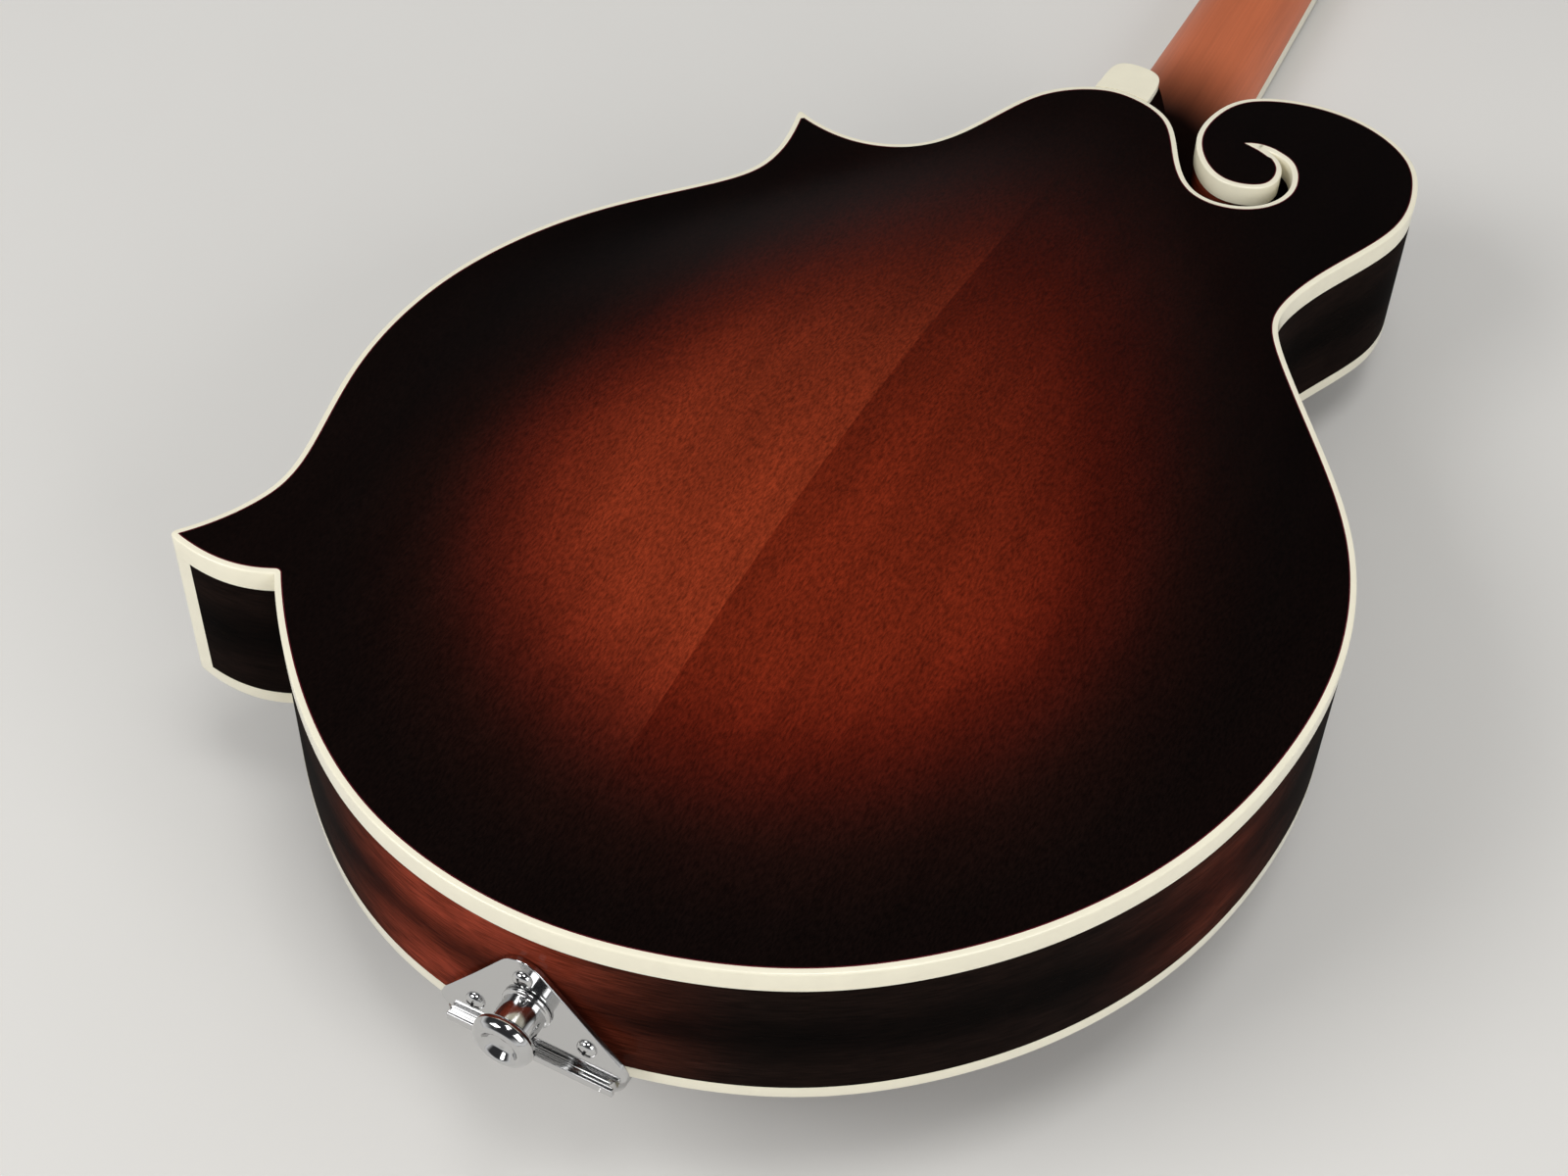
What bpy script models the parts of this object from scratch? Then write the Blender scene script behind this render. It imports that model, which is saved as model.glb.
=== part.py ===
"""F-style mandolin lying face down on its strings, with its carved back upward.

Three drawing frames are used, all in millimetres:
  body  - from the middle of the tail on the back's rim; x to the scroll side, y to the neck, z out of the back
  neck  - from the front of the nut on the plane under the strings; y to the headstock, z away from the strings
  head  - from the foot of the headstock on its face; y to the tip, z out of the headstock's rear
The neck frame lies level in the scene. The body frame is tipped by the neck angle and the head frame by the
headstock angle.
"""
import math

import bmesh
import bpy
from mathutils import Matrix, Vector
from mathutils.geometry import delaunay_2d_cdt

MM = 0.001

# Driving dimensions of the body
RIM_DEPTH = 46.5          # back rim to top rim, over both bindings
BACK_EDGE = 4.2           # thickness of the carved back at the rim
TOP_EDGE = 3.9            # thickness of the carved top at the rim
PLATE_THINNING = 0.7      # what both lose towards the middle of the arch
BACK_ARCH = 13.0          # height of the back's arch over its rim
TOP_ARCH = 15.0           # height of the top's arch over its rim
ARCH_CENTRE_Y = 146.0     # where both arches are highest
ARCH_HALF_WIDTH = 121.0
BINDING_WIDTH = 1.55
BACK_BINDING_HEIGHT = 6.0
TOP_BINDING_HEIGHT = TOP_EDGE
RIB_THICKNESS = 2.2
LINING_WIDTH = 5.4
LINING_HEIGHT = 8.0
BLOCK_DEPTH = 24.0
SEAM = 0.2                # clearance left at glued and screwed seams
BAR_SEAM = 0.5            # the same under the long tone bars
CUTAWAY_SEAM = 0.3

# Driving dimensions of the neck and its set
SCALE_LENGTH = 352.0
HEEL_TIP_Y = 340.1        # front of the heel in the body frame
BRIDGE_TO_HEEL = 0.46335  # share of the scale length between bridge and heel tip
STRING_HEIGHT = 32.0      # strings over the top's rim at the bridge
NECK_ANGLE = math.radians(5.0)
HEAD_ANGLE = math.radians(14.0)
NUT_WIDTH = 28.8
JOINT_WIDTH = 38.4
JOINT_FRET = 15
FRETS = 22
FRET_GAP = 1.3            # string plane to fret crowns
FRET_HEIGHT = 1.0
BOARD_THICKNESS = 5.5
BOARD_BINDING = 1.5
NUT_LENGTH = 5.0
SHAFT_DEPTH_NUT = 15.0
SHAFT_DEPTH_JOINT = 17.0
ROD_SLOT = 6.4
ROD_GROOVE = 7.2          # depth of its groove under the board
ROD_DIAMETER = 5.0
TENON_TOP_HALF = 10.0
TENON_BACK_HALF = 6.4
HEEL_CAP_THICKNESS = 2.2

# Strings, bridge and tail
STRING_DIAMETERS = (0.97, 0.97, 0.61, 0.61, 0.38, 0.38, 0.28, 0.28)
STRING_AT_NUT = (-11.6, -9.2, -4.7, -2.4, 2.4, 4.7, 9.2, 11.6)
STRING_AT_BRIDGE = (-18.3, -15.4, -7.6, -4.8, 4.8, 7.6, 15.4, 18.3)
BRIDGE_STUD_X = 29.0
STUD_RADIUS = 1.6
STUD_TIP = 5.2            # end of the studs over the plane under the strings
SADDLE_HEIGHT = 6.9
SADDLE_LENGTH = 6.0       # along the strings
SADDLE_TRAVEL = 1.5
WHEEL_THICKNESS = 2.4
WHEEL_RADIUS = 6.6
TAIL_PLATE = 1.2
PIN_HEIGHT = 16.0         # end pin over the top's rim
PIN_OUT = 12.4            # how far its head stands out of the tail
PIN_SHANK = 3.0
SCREW_PLACES = {"apex": (0.0, 28.1), "bass": (-14.6, 9.5), "treble": (14.6, 9.5)}  # height over the top's rim
SCREW_REACH = 2.2         # into the rib
SCREW_SHANK = 1.05
HOOK_Y = 15.0
TAIL_SPREAD = 1.04        # string spacing at the tailpiece over that at the bridge
COIL_GAP = 0.45           # between a string's turns on its post

# Headstock and tuning machines
HEAD_THICKNESS = 13.0
VENEER = 1.6
POST_ROW_X = 19.0
POST_FIRST_Y = 34.0
POST_PITCH = 23.0
POST_RADIUS = 3.0
POST_OUT = 11.0           # post over the veneer
MACHINE_PLATE = 1.0
GEAR_RADIUS = 5.3
GEAR_TEETH = 12
GEAR_LENGTH = 3.6
WORM_RADIUS = 2.5
WORM_CLEARANCE = 0.25

BRIDGE_Y = HEEL_TIP_Y - BRIDGE_TO_HEEL * SCALE_LENGTH
TOP_Z = -RIM_DEPTH
PIN_Z = TOP_Z + PIN_HEIGHT
TAIL_SCREWS = {name: (x, TOP_Z + height) for name, (x, height) in SCREW_PLACES.items()}
HOOK_Z = TOP_Z - 5.4
BOARD_FACE = FRET_GAP + FRET_HEIGHT
BOARD_BACK = BOARD_FACE + BOARD_THICKNESS
NECK_FACE = BOARD_BACK + SEAM
JOINT_Y = -SCALE_LENGTH * (1.0 - 2.0 ** (-JOINT_FRET / 12.0))
BOARD_END = -SCALE_LENGTH * (1.0 - 2.0 ** (-(FRETS + 0.45) / 12.0))
NUT_END = NUT_LENGTH + SEAM
STRING_Z = TOP_Z - STRING_HEIGHT

# Body outline seen from the back, as control points of four smooth cubic curves joined at corners. It runs
# from the inner corner of the lower point round the tail, the right side and the scroll to the slot's end.
RIGHT_SIDE = (
    (-99.8, 55.3), (-94.7, 48.4), (-80.5, 32.2), (-56.7, 13.4), (-32.1, 2.8), (-3.4, -1.3), (24.2, 1.9),
    (53.7, 11.9), (76.8, 27.1), (98.3, 48.8), (114.3, 74.6), (123.9, 101.9), (128.3, 134.1), (125.9, 161.1),
    (116.7, 188.5), (98.1, 215.0), (75.3, 245.6), (71.8, 256.5), (77.3, 277.0), (91.4, 304.4), (89.0, 323.8),
    (83.5, 337.5), (67.5, 347.7), (48.9, 349.1), (32.3, 343.1), (26.2, 332.9), (24.4, 317.1), (32.3, 304.4),
    (40.8, 300.1), (50.0, 302.9), (53.3, 307.7), (52.8, 315.7), (48.8, 319.5), (46.2, 320.8),
)
# The slot's other wall, the shoulder under the heel and the left shoulder to the upper point.
SHOULDERS = (
    (46.2, 320.8), (49.9, 320.1), (54.3, 318.2), (58.3, 306.6), (53.6, 296.4), (43.6, 291.3), (32.5, 293.1),
    (24.4, 306.2), (17.5, 322.4), (3.3, 327.5), (-7.6, 326.8), (-21.8, 316.5), (-28.2, 299.4), (-35.9, 279.4),
    (-47.3, 271.1), (-61.4, 268.3), (-73.2, 271.8), (-77.2, 274.2),
)
# The left side from the upper point to the lower point.
LEFT_SIDE = (
    (-77.2, 274.2), (-74.0, 261.7), (-73.6, 250.4), (-76.8, 238.6), (-104.2, 210.5), (-119.8, 181.7),
    (-126.9, 153.8), (-126.4, 122.2), (-115.4, 87.6), (-117.4, 73.4), (-124.0, 60.8), (-129.6, 54.2),
)
# The end face of the lower point, slightly hollow.
POINT_FACE = ((-129.6, 54.2), (-117.5, 50.4), (-108.2, 50.9), (-99.8, 55.3))
POINT_ROUNDING = 3.0
POINT_CAP = 4.6

HEEL_CAP = ((-8.1, 323.0), (-8.1, 329.9), (-7.7, 334.4), (-6.5, 337.4), (-4.2, 339.4), (-1.4, 340.2),
            (1.6, 340.0), (4.1, 338.8), (6.2, 336.5), (7.3, 333.7), (7.7, 330.2), (7.8, 323.0))

# Headstock seen from the rear, as control points of one smooth curve from the right foot to the left foot.
HEAD_OUTLINE = (
    (14.6, -0.8), (15.6, 5.0), (22.0, 10.0), (30.5, 15.0), (31.4, 26.0), (29.8, 48.0), (30.0, 76.0),
    (30.8, 103.0), (31.0, 116.0), (33.5, 124.0), (43.5, 129.5), (49.0, 138.0), (42.0, 147.0), (32.0, 139.0),
    (22.0, 129.0), (11.0, 130.0), (1.0, 145.0), (-8.0, 164.0), (-26.0, 174.5), (-42.5, 165.0),
    (-44.0, 148.0), (-35.5, 139.0), (-32.0, 124.0), (-31.0, 104.0), (-30.0, 76.0), (-29.8, 48.0),
    (-31.4, 26.0), (-30.5, 15.0), (-22.0, 10.0), (-15.6, 5.0), (-14.6, -0.8),
)
# Treble sound hole of the top; the bass one mirrors it. It runs down the stem's outer side to the lower lobe,
# round that lobe, up the inner side and round the upper lobe.
SOUND_HOLE = (
    (46.0, 210.5), (51.5, 209.8), (55.5, 206.0), (57.8, 199.0), (59.6, 189.0), (61.6, 177.0), (63.4, 165.0),
    (64.8, 154.0), (65.6, 146.0), (67.4, 139.8), (68.9, 141.2), (68.7, 145.2), (70.8, 148.6), (74.6, 148.8),
    (77.3, 146.0), (77.5, 141.3), (74.8, 137.0), (70.0, 134.3), (65.0, 134.6), (61.4, 138.4), (59.9, 145.0),
    (58.9, 154.0), (57.5, 165.0), (55.8, 177.0), (54.3, 188.0), (53.4, 197.0), (52.0, 204.4), (49.8, 204.2),
    (49.6, 200.2), (46.6, 197.8), (42.8, 199.2), (41.0, 203.2), (42.3, 208.2),
)

MATERIALS = {
    "maple_sunburst": ((0.045, 0.012, 0.006), 0.0, 0.12),
    "spruce_sunburst": ((0.25, 0.09, 0.03), 0.0, 0.14),
    "maple_neck": ((0.16, 0.035, 0.012), 0.0, 0.3),
    "cream_binding": ((0.83, 0.79, 0.62), 0.0, 0.3),
    "bare_wood": ((0.55, 0.4, 0.25), 0.0, 0.7),
    "ebony": ((0.012, 0.01, 0.009), 0.0, 0.35),
    "bone": ((0.8, 0.77, 0.66), 0.0, 0.4),
    "chrome": ((0.75, 0.75, 0.76), 1.0, 0.08),
    "steel": ((0.5, 0.5, 0.51), 1.0, 0.3),
    "bronze_string": ((0.55, 0.36, 0.18), 1.0, 0.3),
}


def bspline(control, per_span=20):
    """Points on the cubic curve drawn by control points, which begins and ends on the outer ones."""
    last = len(control) - 3
    knots = [0] * 3 + list(range(last + 1)) + [last] * 3
    points = []
    for step in range(last * per_span + 1):
        t = step / per_span
        k = min(int(t), last - 1) + 3
        near = [Vector(control[k - 3 + j]) for j in range(4)]
        for r in range(1, 4):
            for j in range(3, r - 1, -1):
                low = knots[j + k - 3]
                share = (t - low) / (knots[j + 1 + k - r] - low)
                near[j] = near[j - 1].lerp(near[j], share)
        points.append(near[3])
    return points


def thin(points, sag, longest):
    """Leaves out points while the chord stays within sag of the curve and no longer than longest."""
    kept = [points[0]]
    start = 0
    for end in range(2, len(points)):
        a, b = points[start], points[end]
        chord = b - a
        length = chord.length
        worst = max(abs(chord.cross(p - a)) / max(length, 1e-6) for p in points[start + 1:end])
        if worst > sag or length > longest:
            start = end - 1
            kept.append(points[start])
    if (kept[-1] - points[-1]).length < 0.8:
        kept.pop()
    kept.append(points[-1])
    return kept


def rounded(before, corner, after, reach):
    """The corner between two runs of points, with the last reach of each replaced by one small curve."""
    back = [p for p in before if (p - corner).length > reach]
    front = [p for p in after if (p - corner).length > reach]
    a = corner + (back[-1] - corner).normalized() * reach
    b = corner + (front[0] - corner).normalized() * reach
    curve = [a.lerp(corner, t).lerp(corner.lerp(b, t), t) for t in (0.0, 0.25, 0.5, 0.75, 1.0)]
    return back, curve, front


def body_outline(sag=0.15, longest=17.0):
    """The body's outer edge in plan, counterclockwise from the lower point's inner corner."""
    right = thin(bspline(RIGHT_SIDE), sag, longest)
    over = thin(bspline(SHOULDERS), sag, longest)
    left = thin(bspline(LEFT_SIDE), sag, longest)
    face = thin(bspline(POINT_FACE), sag, longest)
    over, upper, left = rounded(over, over[-1], left, POINT_ROUNDING)
    left, lower, face = rounded(left, left[-1], face, POINT_ROUNDING)
    return right + over[1:] + upper + left + lower + face[:-1]


def inside(loop, x, y):
    """Whether a point is inside a loop."""
    odd = False
    x0, y0 = loop[-1]
    for x1, y1 in loop:
        if (y0 > y) != (y1 > y) and x < (x1 - x0) * (y - y0) / (y1 - y0) + x0:
            odd = not odd
        x0, y0 = x1, y1
    return odd


def edge_distance(loop, x, y):
    """Distance from a point to the nearest edge of a loop."""
    best = 1e9
    x0, y0 = loop[-1]
    for x1, y1 in loop:
        ex, ey = x1 - x0, y1 - y0
        size = ex * ex + ey * ey
        t = min(1.0, max(0.0, ((x - x0) * ex + (y - y0) * ey) / size)) if size else 0.0
        best = min(best, (x0 + ex * t - x) ** 2 + (y0 + ey * t - y) ** 2)
        x0, y0 = x1, y1
    return math.sqrt(best)


def triangulate(loops, extra=(), keep=lambda x, y: True):
    """Triangles between the loops' edges whose middle is kept: the points and the index triples."""
    verts, edges = [], []
    for loop in loops:
        first = len(verts)
        verts += [Vector((p[0], p[1])) for p in loop]
        edges += [(first + i, first + (i + 1) % len(loop)) for i in range(len(loop))]
    verts += [Vector((p[0], p[1])) for p in extra]
    points, _, faces, _, _, _ = delaunay_2d_cdt(verts, edges, [], 0, 1e-4)
    kept = []
    for face in faces:
        x = sum(points[i].x for i in face) / 3.0
        y = sum(points[i].y for i in face) / 3.0
        if keep(x, y):
            kept.append(tuple(face))
    return points, kept


def border(faces):
    """The edges that belong to one face only, each in that face's direction."""
    seen = {}
    for face in faces:
        for a, b in zip(face, face[1:] + face[:1]):
            seen[(a, b)] = True
    return [(a, b) for a, b in seen if (b, a) not in seen]


def longest_loop(points, faces):
    """The longest border of some triangles, as points in order."""
    after = dict(border(faces))
    best = []
    while after:
        first, at = after.popitem()
        chain = [first]
        while at != first:
            chain.append(at)
            at = after.pop(at)
        if len(chain) > len(best):
            best = chain
    return [points[i] for i in best]


def inset(loop, depth, gap=0.15):
    """The loop moved inward by depth (outward if negative), cleaned where it would cross itself."""
    raw = []
    for i, here in enumerate(loop):
        a = (here - loop[i - 1]).normalized()
        b = (loop[(i + 1) % len(loop)] - here).normalized()
        left_a, left_b = Vector((-a.y, a.x)), Vector((-b.y, b.x))
        turn = math.atan2(a.cross(b), a.dot(b))
        if abs(turn) > 1.8 and turn * depth < 0:
            for step in range(7):
                swing = turn * step / 6.0
                c, s = math.cos(swing), math.sin(swing)
                raw.append(here + Vector((left_a.x * c - left_a.y * s, left_a.x * s + left_a.y * c)) * depth)
        else:
            raw.append(here + (left_a + left_b) * (depth / max(0.25, 1.0 + left_a.dot(left_b))))
    if depth < 0:
        return raw
    points, faces = triangulate([raw], keep=lambda x, y: inside(loop, x, y)
                                and edge_distance(loop, x, y) > depth * 0.985)
    ring = longest_loop(points, faces)
    return [p for i, p in enumerate(ring) if (p - ring[i - 1]).length > gap]


def arch(x, y):
    """Share of the arch's height at a point in plan: 1 at its centre, 0 on the flat edge and points."""
    dy = y - ARCH_CENTRE_Y
    if dy < 0:
        long, wide = ARCH_CENTRE_Y - 6.0, ARCH_HALF_WIDTH
    else:
        long = 168.0
        t = min(1.0, dy / long)
        wide = ARCH_HALF_WIDTH - 62.0 * t * t * (3.0 - 2.0 * t)
    r2 = (x / wide) ** 2 + (dy / long) ** 2
    return (1.0 - r2) ** 1.7 if r2 < 1.0 else 0.0


def back_outer(x, y):
    return BACK_ARCH * arch(x, y)


def back_inner(x, y):
    return back_outer(x, y) - BACK_EDGE + PLATE_THINNING * arch(x, y)


def top_outer(x, y):
    return TOP_Z - TOP_ARCH * arch(x, y)


def top_inner(x, y):
    return top_outer(x, y) + TOP_EDGE - PLATE_THINNING * arch(x, y)


def arch_points(inner):
    """Points in plan on rings of the arch, for the plates' faces."""
    points = [Vector((0.0, ARCH_CENTRE_Y))]
    for share, count in ((0.13, 8), (0.27, 12), (0.42, 18), (0.57, 24), (0.72, 30), (0.86, 36), (0.98, 40)):
        for k in range(count):
            angle = 2 * math.pi * (k + 0.5 * (count % 4 == 0)) / count
            dy = share * math.sin(angle)
            long = ARCH_CENTRE_Y - 6.0 if dy < 0 else 168.0
            y = ARCH_CENTRE_Y + dy * long
            t = max(0.0, min(1.0, dy))
            wide = ARCH_HALF_WIDTH - 62.0 * t * t * (3.0 - 2.0 * t)
            x = share * math.cos(angle) * wide
            if inside(inner, x, y) and edge_distance(inner, x, y) > 3.5:
                points.append(Vector((x, y)))
    return points


def level(value, x, y):
    return value(x, y) if callable(value) else value


def prism(loops, low, high, extra=(), keep=lambda x, y: True):
    """A closed body over the kept region between the loops, from low to high, each a height or a function."""
    points, faces = triangulate(loops, extra, keep)
    used = sorted({i for face in faces for i in face})
    bm = bmesh.new()
    under = {i: bm.verts.new((points[i].x, points[i].y, level(low, *points[i]))) for i in used}
    over = {i: bm.verts.new((points[i].x, points[i].y, level(high, *points[i]))) for i in used}
    for face in faces:
        bm.faces.new([over[i] for i in face])
        bm.faces.new([under[i] for i in reversed(face)])
    for a, b in border(faces):
        bm.faces.new((under[a], under[b], over[b], over[a]))
    return bm


def plate(loop, low, high):
    """A prism over the inside of one loop."""
    return prism([loop], low, high, keep=lambda x, y: inside(loop, x, y))


def band(outer, inner, low, high, keep=lambda x, y: True, also=()):
    """A prism between two loops."""
    return prism([outer, inner, *also], low, high,
                 keep=lambda x, y: inside(outer, x, y) and not inside(inner, x, y) and keep(x, y))


def circle(radius, count, centre=(0.0, 0.0), turn=0.0):
    return [Vector((centre[0] + radius * math.cos(turn + 2 * math.pi * k / count),
                    centre[1] + radius * math.sin(turn + 2 * math.pi * k / count))) for k in range(count)]


def oval(across, along, count):
    return [Vector((p.x * across, p.y * along)) for p in circle(1.0, count)]


def box_loop(x0, x1, y0, y1):
    return [Vector((x0, y0)), Vector((x1, y0)), Vector((x1, y1)), Vector((x0, y1))]


def skin(sections):
    """A closed body through sections of equally many points, with a flat cap at each end."""
    bm = bmesh.new()
    rings = [[bm.verts.new(p) for p in section] for section in sections]
    count = len(rings[0])
    for low, high in zip(rings, rings[1:]):
        for k in range(count):
            bm.faces.new((low[k], low[(k + 1) % count], high[(k + 1) % count], high[k]))
    bm.faces.new(list(reversed(rings[0])))
    bm.faces.new(rings[-1])
    return bm


def lathe(profile, count, turn=0.0):
    """A body of revolution round z, from (radius, z) pairs, closed by flat ends."""
    return skin([[Vector((p.x, p.y, z)) for p in circle(r, count, turn=turn)] for r, z in profile])


def stack(layers):
    """A closed body of layers along z, each (lower loop, its z, upper loop, its z), stepped where they differ."""
    bm = bmesh.new()
    made = []
    for low_loop, z0, high_loop, z1 in layers:
        low = [bm.verts.new((p.x, p.y, z0)) for p in low_loop]
        high = [bm.verts.new((p.x, p.y, z1)) for p in high_loop]
        for k in range(len(low)):
            bm.faces.new((low[k], low[(k + 1) % len(low)], high[(k + 1) % len(low)], high[k]))
        made.append((low, high, low_loop, high_loop, z0, z1))
    bm.faces.new(list(reversed(made[0][0])))
    bm.faces.new(made[-1][1])
    for under, over in zip(made, made[1:]):
        a, b, z = under[3], over[2], over[4]
        reach_a = max(p.length for p in a)
        reach_b = max(p.length for p in b)
        wide, narrow = (a, b) if reach_a > reach_b else (b, a)
        points, faces = triangulate([wide, narrow],
                                    keep=lambda x, y: inside(wide, x, y) and not inside(narrow, x, y))
        fresh = [bm.verts.new((p.x, p.y, z)) for p in points]
        for face in faces:
            order = face if reach_a > reach_b else tuple(reversed(face))
            bm.faces.new([fresh[i] for i in order])
    bmesh.ops.remove_doubles(bm, verts=bm.verts, dist=1e-3)
    return bm


def tube(path, radius, sides):
    """A round bar along a path, closed at both ends, with one of its edges lowest."""
    sections = []
    side = Vector((1.0, 0.0, 0.0))
    for i, here in enumerate(path):
        before = path[i - 1] if i else here
        after = path[i + 1] if i + 1 < len(path) else here
        along = (after - before).normalized()
        side = (side - along * side.dot(along)).normalized()
        up = along.cross(side)
        swing = [2 * math.pi * (k + 0.5 * (sides % 2)) / sides - math.pi / 2 for k in range(sides)]
        sections.append([here + side * (radius * math.cos(a)) + up * (radius * math.sin(a)) for a in swing])
    return skin(sections)


def material(name):
    found = bpy.data.materials.get(name)
    if found is None:
        colour, metallic, roughness = MATERIALS[name]
        found = bpy.data.materials.new(name)
        found.use_nodes = True
        shader = found.node_tree.nodes["Principled BSDF"]
        shader.inputs["Base Color"].default_value = (*colour, 1.0)
        shader.inputs["Metallic"].default_value = metallic
        shader.inputs["Roughness"].default_value = roughness
        found.diffuse_color = (*colour, 1.0)
    return found


def emit(name, bm, surface, frame, pivot=(0.0, 0.0, 0.0), cutter=False):
    """Makes the object from geometry drawn in a frame; its origin is put on the pivot."""
    shift = Matrix.Translation(Vector(pivot))
    bmesh.ops.transform(bm, matrix=Matrix.Diagonal((MM, MM, MM, 1.0)) @ shift.inverted(), verts=bm.verts)
    bmesh.ops.recalc_face_normals(bm, faces=bm.faces)
    mesh = bpy.data.meshes.new(name)
    bm.to_mesh(mesh)
    bm.free()
    mesh.shade_smooth()
    mesh.set_sharp_from_angle(angle=math.radians(38.0))
    mesh.materials.append(material(surface))
    obj = bpy.data.objects.new(name, mesh)
    bpy.context.scene.collection.objects.link(obj)
    place = frame @ shift
    place.translation = place.translation * MM
    obj.matrix_world = place
    if cutter:
        obj.hide_render = True
        obj.display_type = "WIRE"
    return obj


def combine(obj, other, operation):
    modifier = obj.modifiers.new(other.name, "BOOLEAN")
    modifier.solver = "EXACT"
    modifier.operation = operation
    modifier.object = other


NECK = Matrix.Identity(4)
BODY = (Matrix.Translation((0.0, -SCALE_LENGTH, 0.0)) @ Matrix.Rotation(-NECK_ANGLE, 4, "X")
        @ Matrix.Translation((0.0, -BRIDGE_Y, -STRING_Z)))
HEAD = Matrix.Translation((0.0, NUT_END, NECK_FACE)) @ Matrix.Rotation(HEAD_ANGLE, 4, "X")


def plane_frame(frame, origin, x_axis, y_axis):
    """A frame inside another one, from its origin and two of its axes."""
    x, y = Vector(x_axis), Vector(y_axis)
    z = x.cross(y)
    turn = Matrix((x, y, z)).transposed().to_4x4()
    return frame @ Matrix.Translation(Vector(origin)) @ turn


def board_half(y):
    """Half the neck's width at a station of the neck frame."""
    return 0.5 * (NUT_WIDTH + (JOINT_WIDTH - NUT_WIDTH) * y / JOINT_Y)


def build_plates(outline):
    """Carved back and top, which sit inside their bindings."""
    edge = inset(outline, BINDING_WIDTH + SEAM)
    rings = arch_points(edge)
    emit("back_plate", prism([edge], back_inner, back_outer, rings, lambda x, y: inside(edge, x, y)),
         "maple_sunburst", BODY)
    treble = [Vector(p) for p in SOUND_HOLE]
    bass = [Vector((-x, y)) for x, y in reversed(SOUND_HOLE)]
    clear = [p for p in rings if min(edge_distance(h, *p) for h in (treble, bass)) > 2.5
             and not inside(treble, *p) and not inside(bass, *p)]
    emit("top_plate", prism([edge, treble, bass], top_outer, top_inner, clear, lambda x, y: inside(edge, x, y)
                            and not inside(treble, x, y) and not inside(bass, x, y)),
         "spruce_sunburst", BODY)
    for name, x in (("tone_bar_bass", -21.0), ("tone_bar_treble", 21.0)):
        loop = [Vector((x - 4.0, y)) for y in (236.0, 200.0, 165.0, 130.0, 92.0)]
        loop += [Vector((x + 4.0, y)) for y in (92.0, 130.0, 165.0, 200.0, 236.0)]
        emit(name, plate(loop, lambda px, py: top_inner(px, py) + BAR_SEAM,
                         lambda px, py: top_inner(px, py) + BAR_SEAM + 9.0 * math.sin(
                             math.pi * (0.12 + 0.76 * (py - 92.0) / 144.0))), "bare_wood", BODY)


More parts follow.
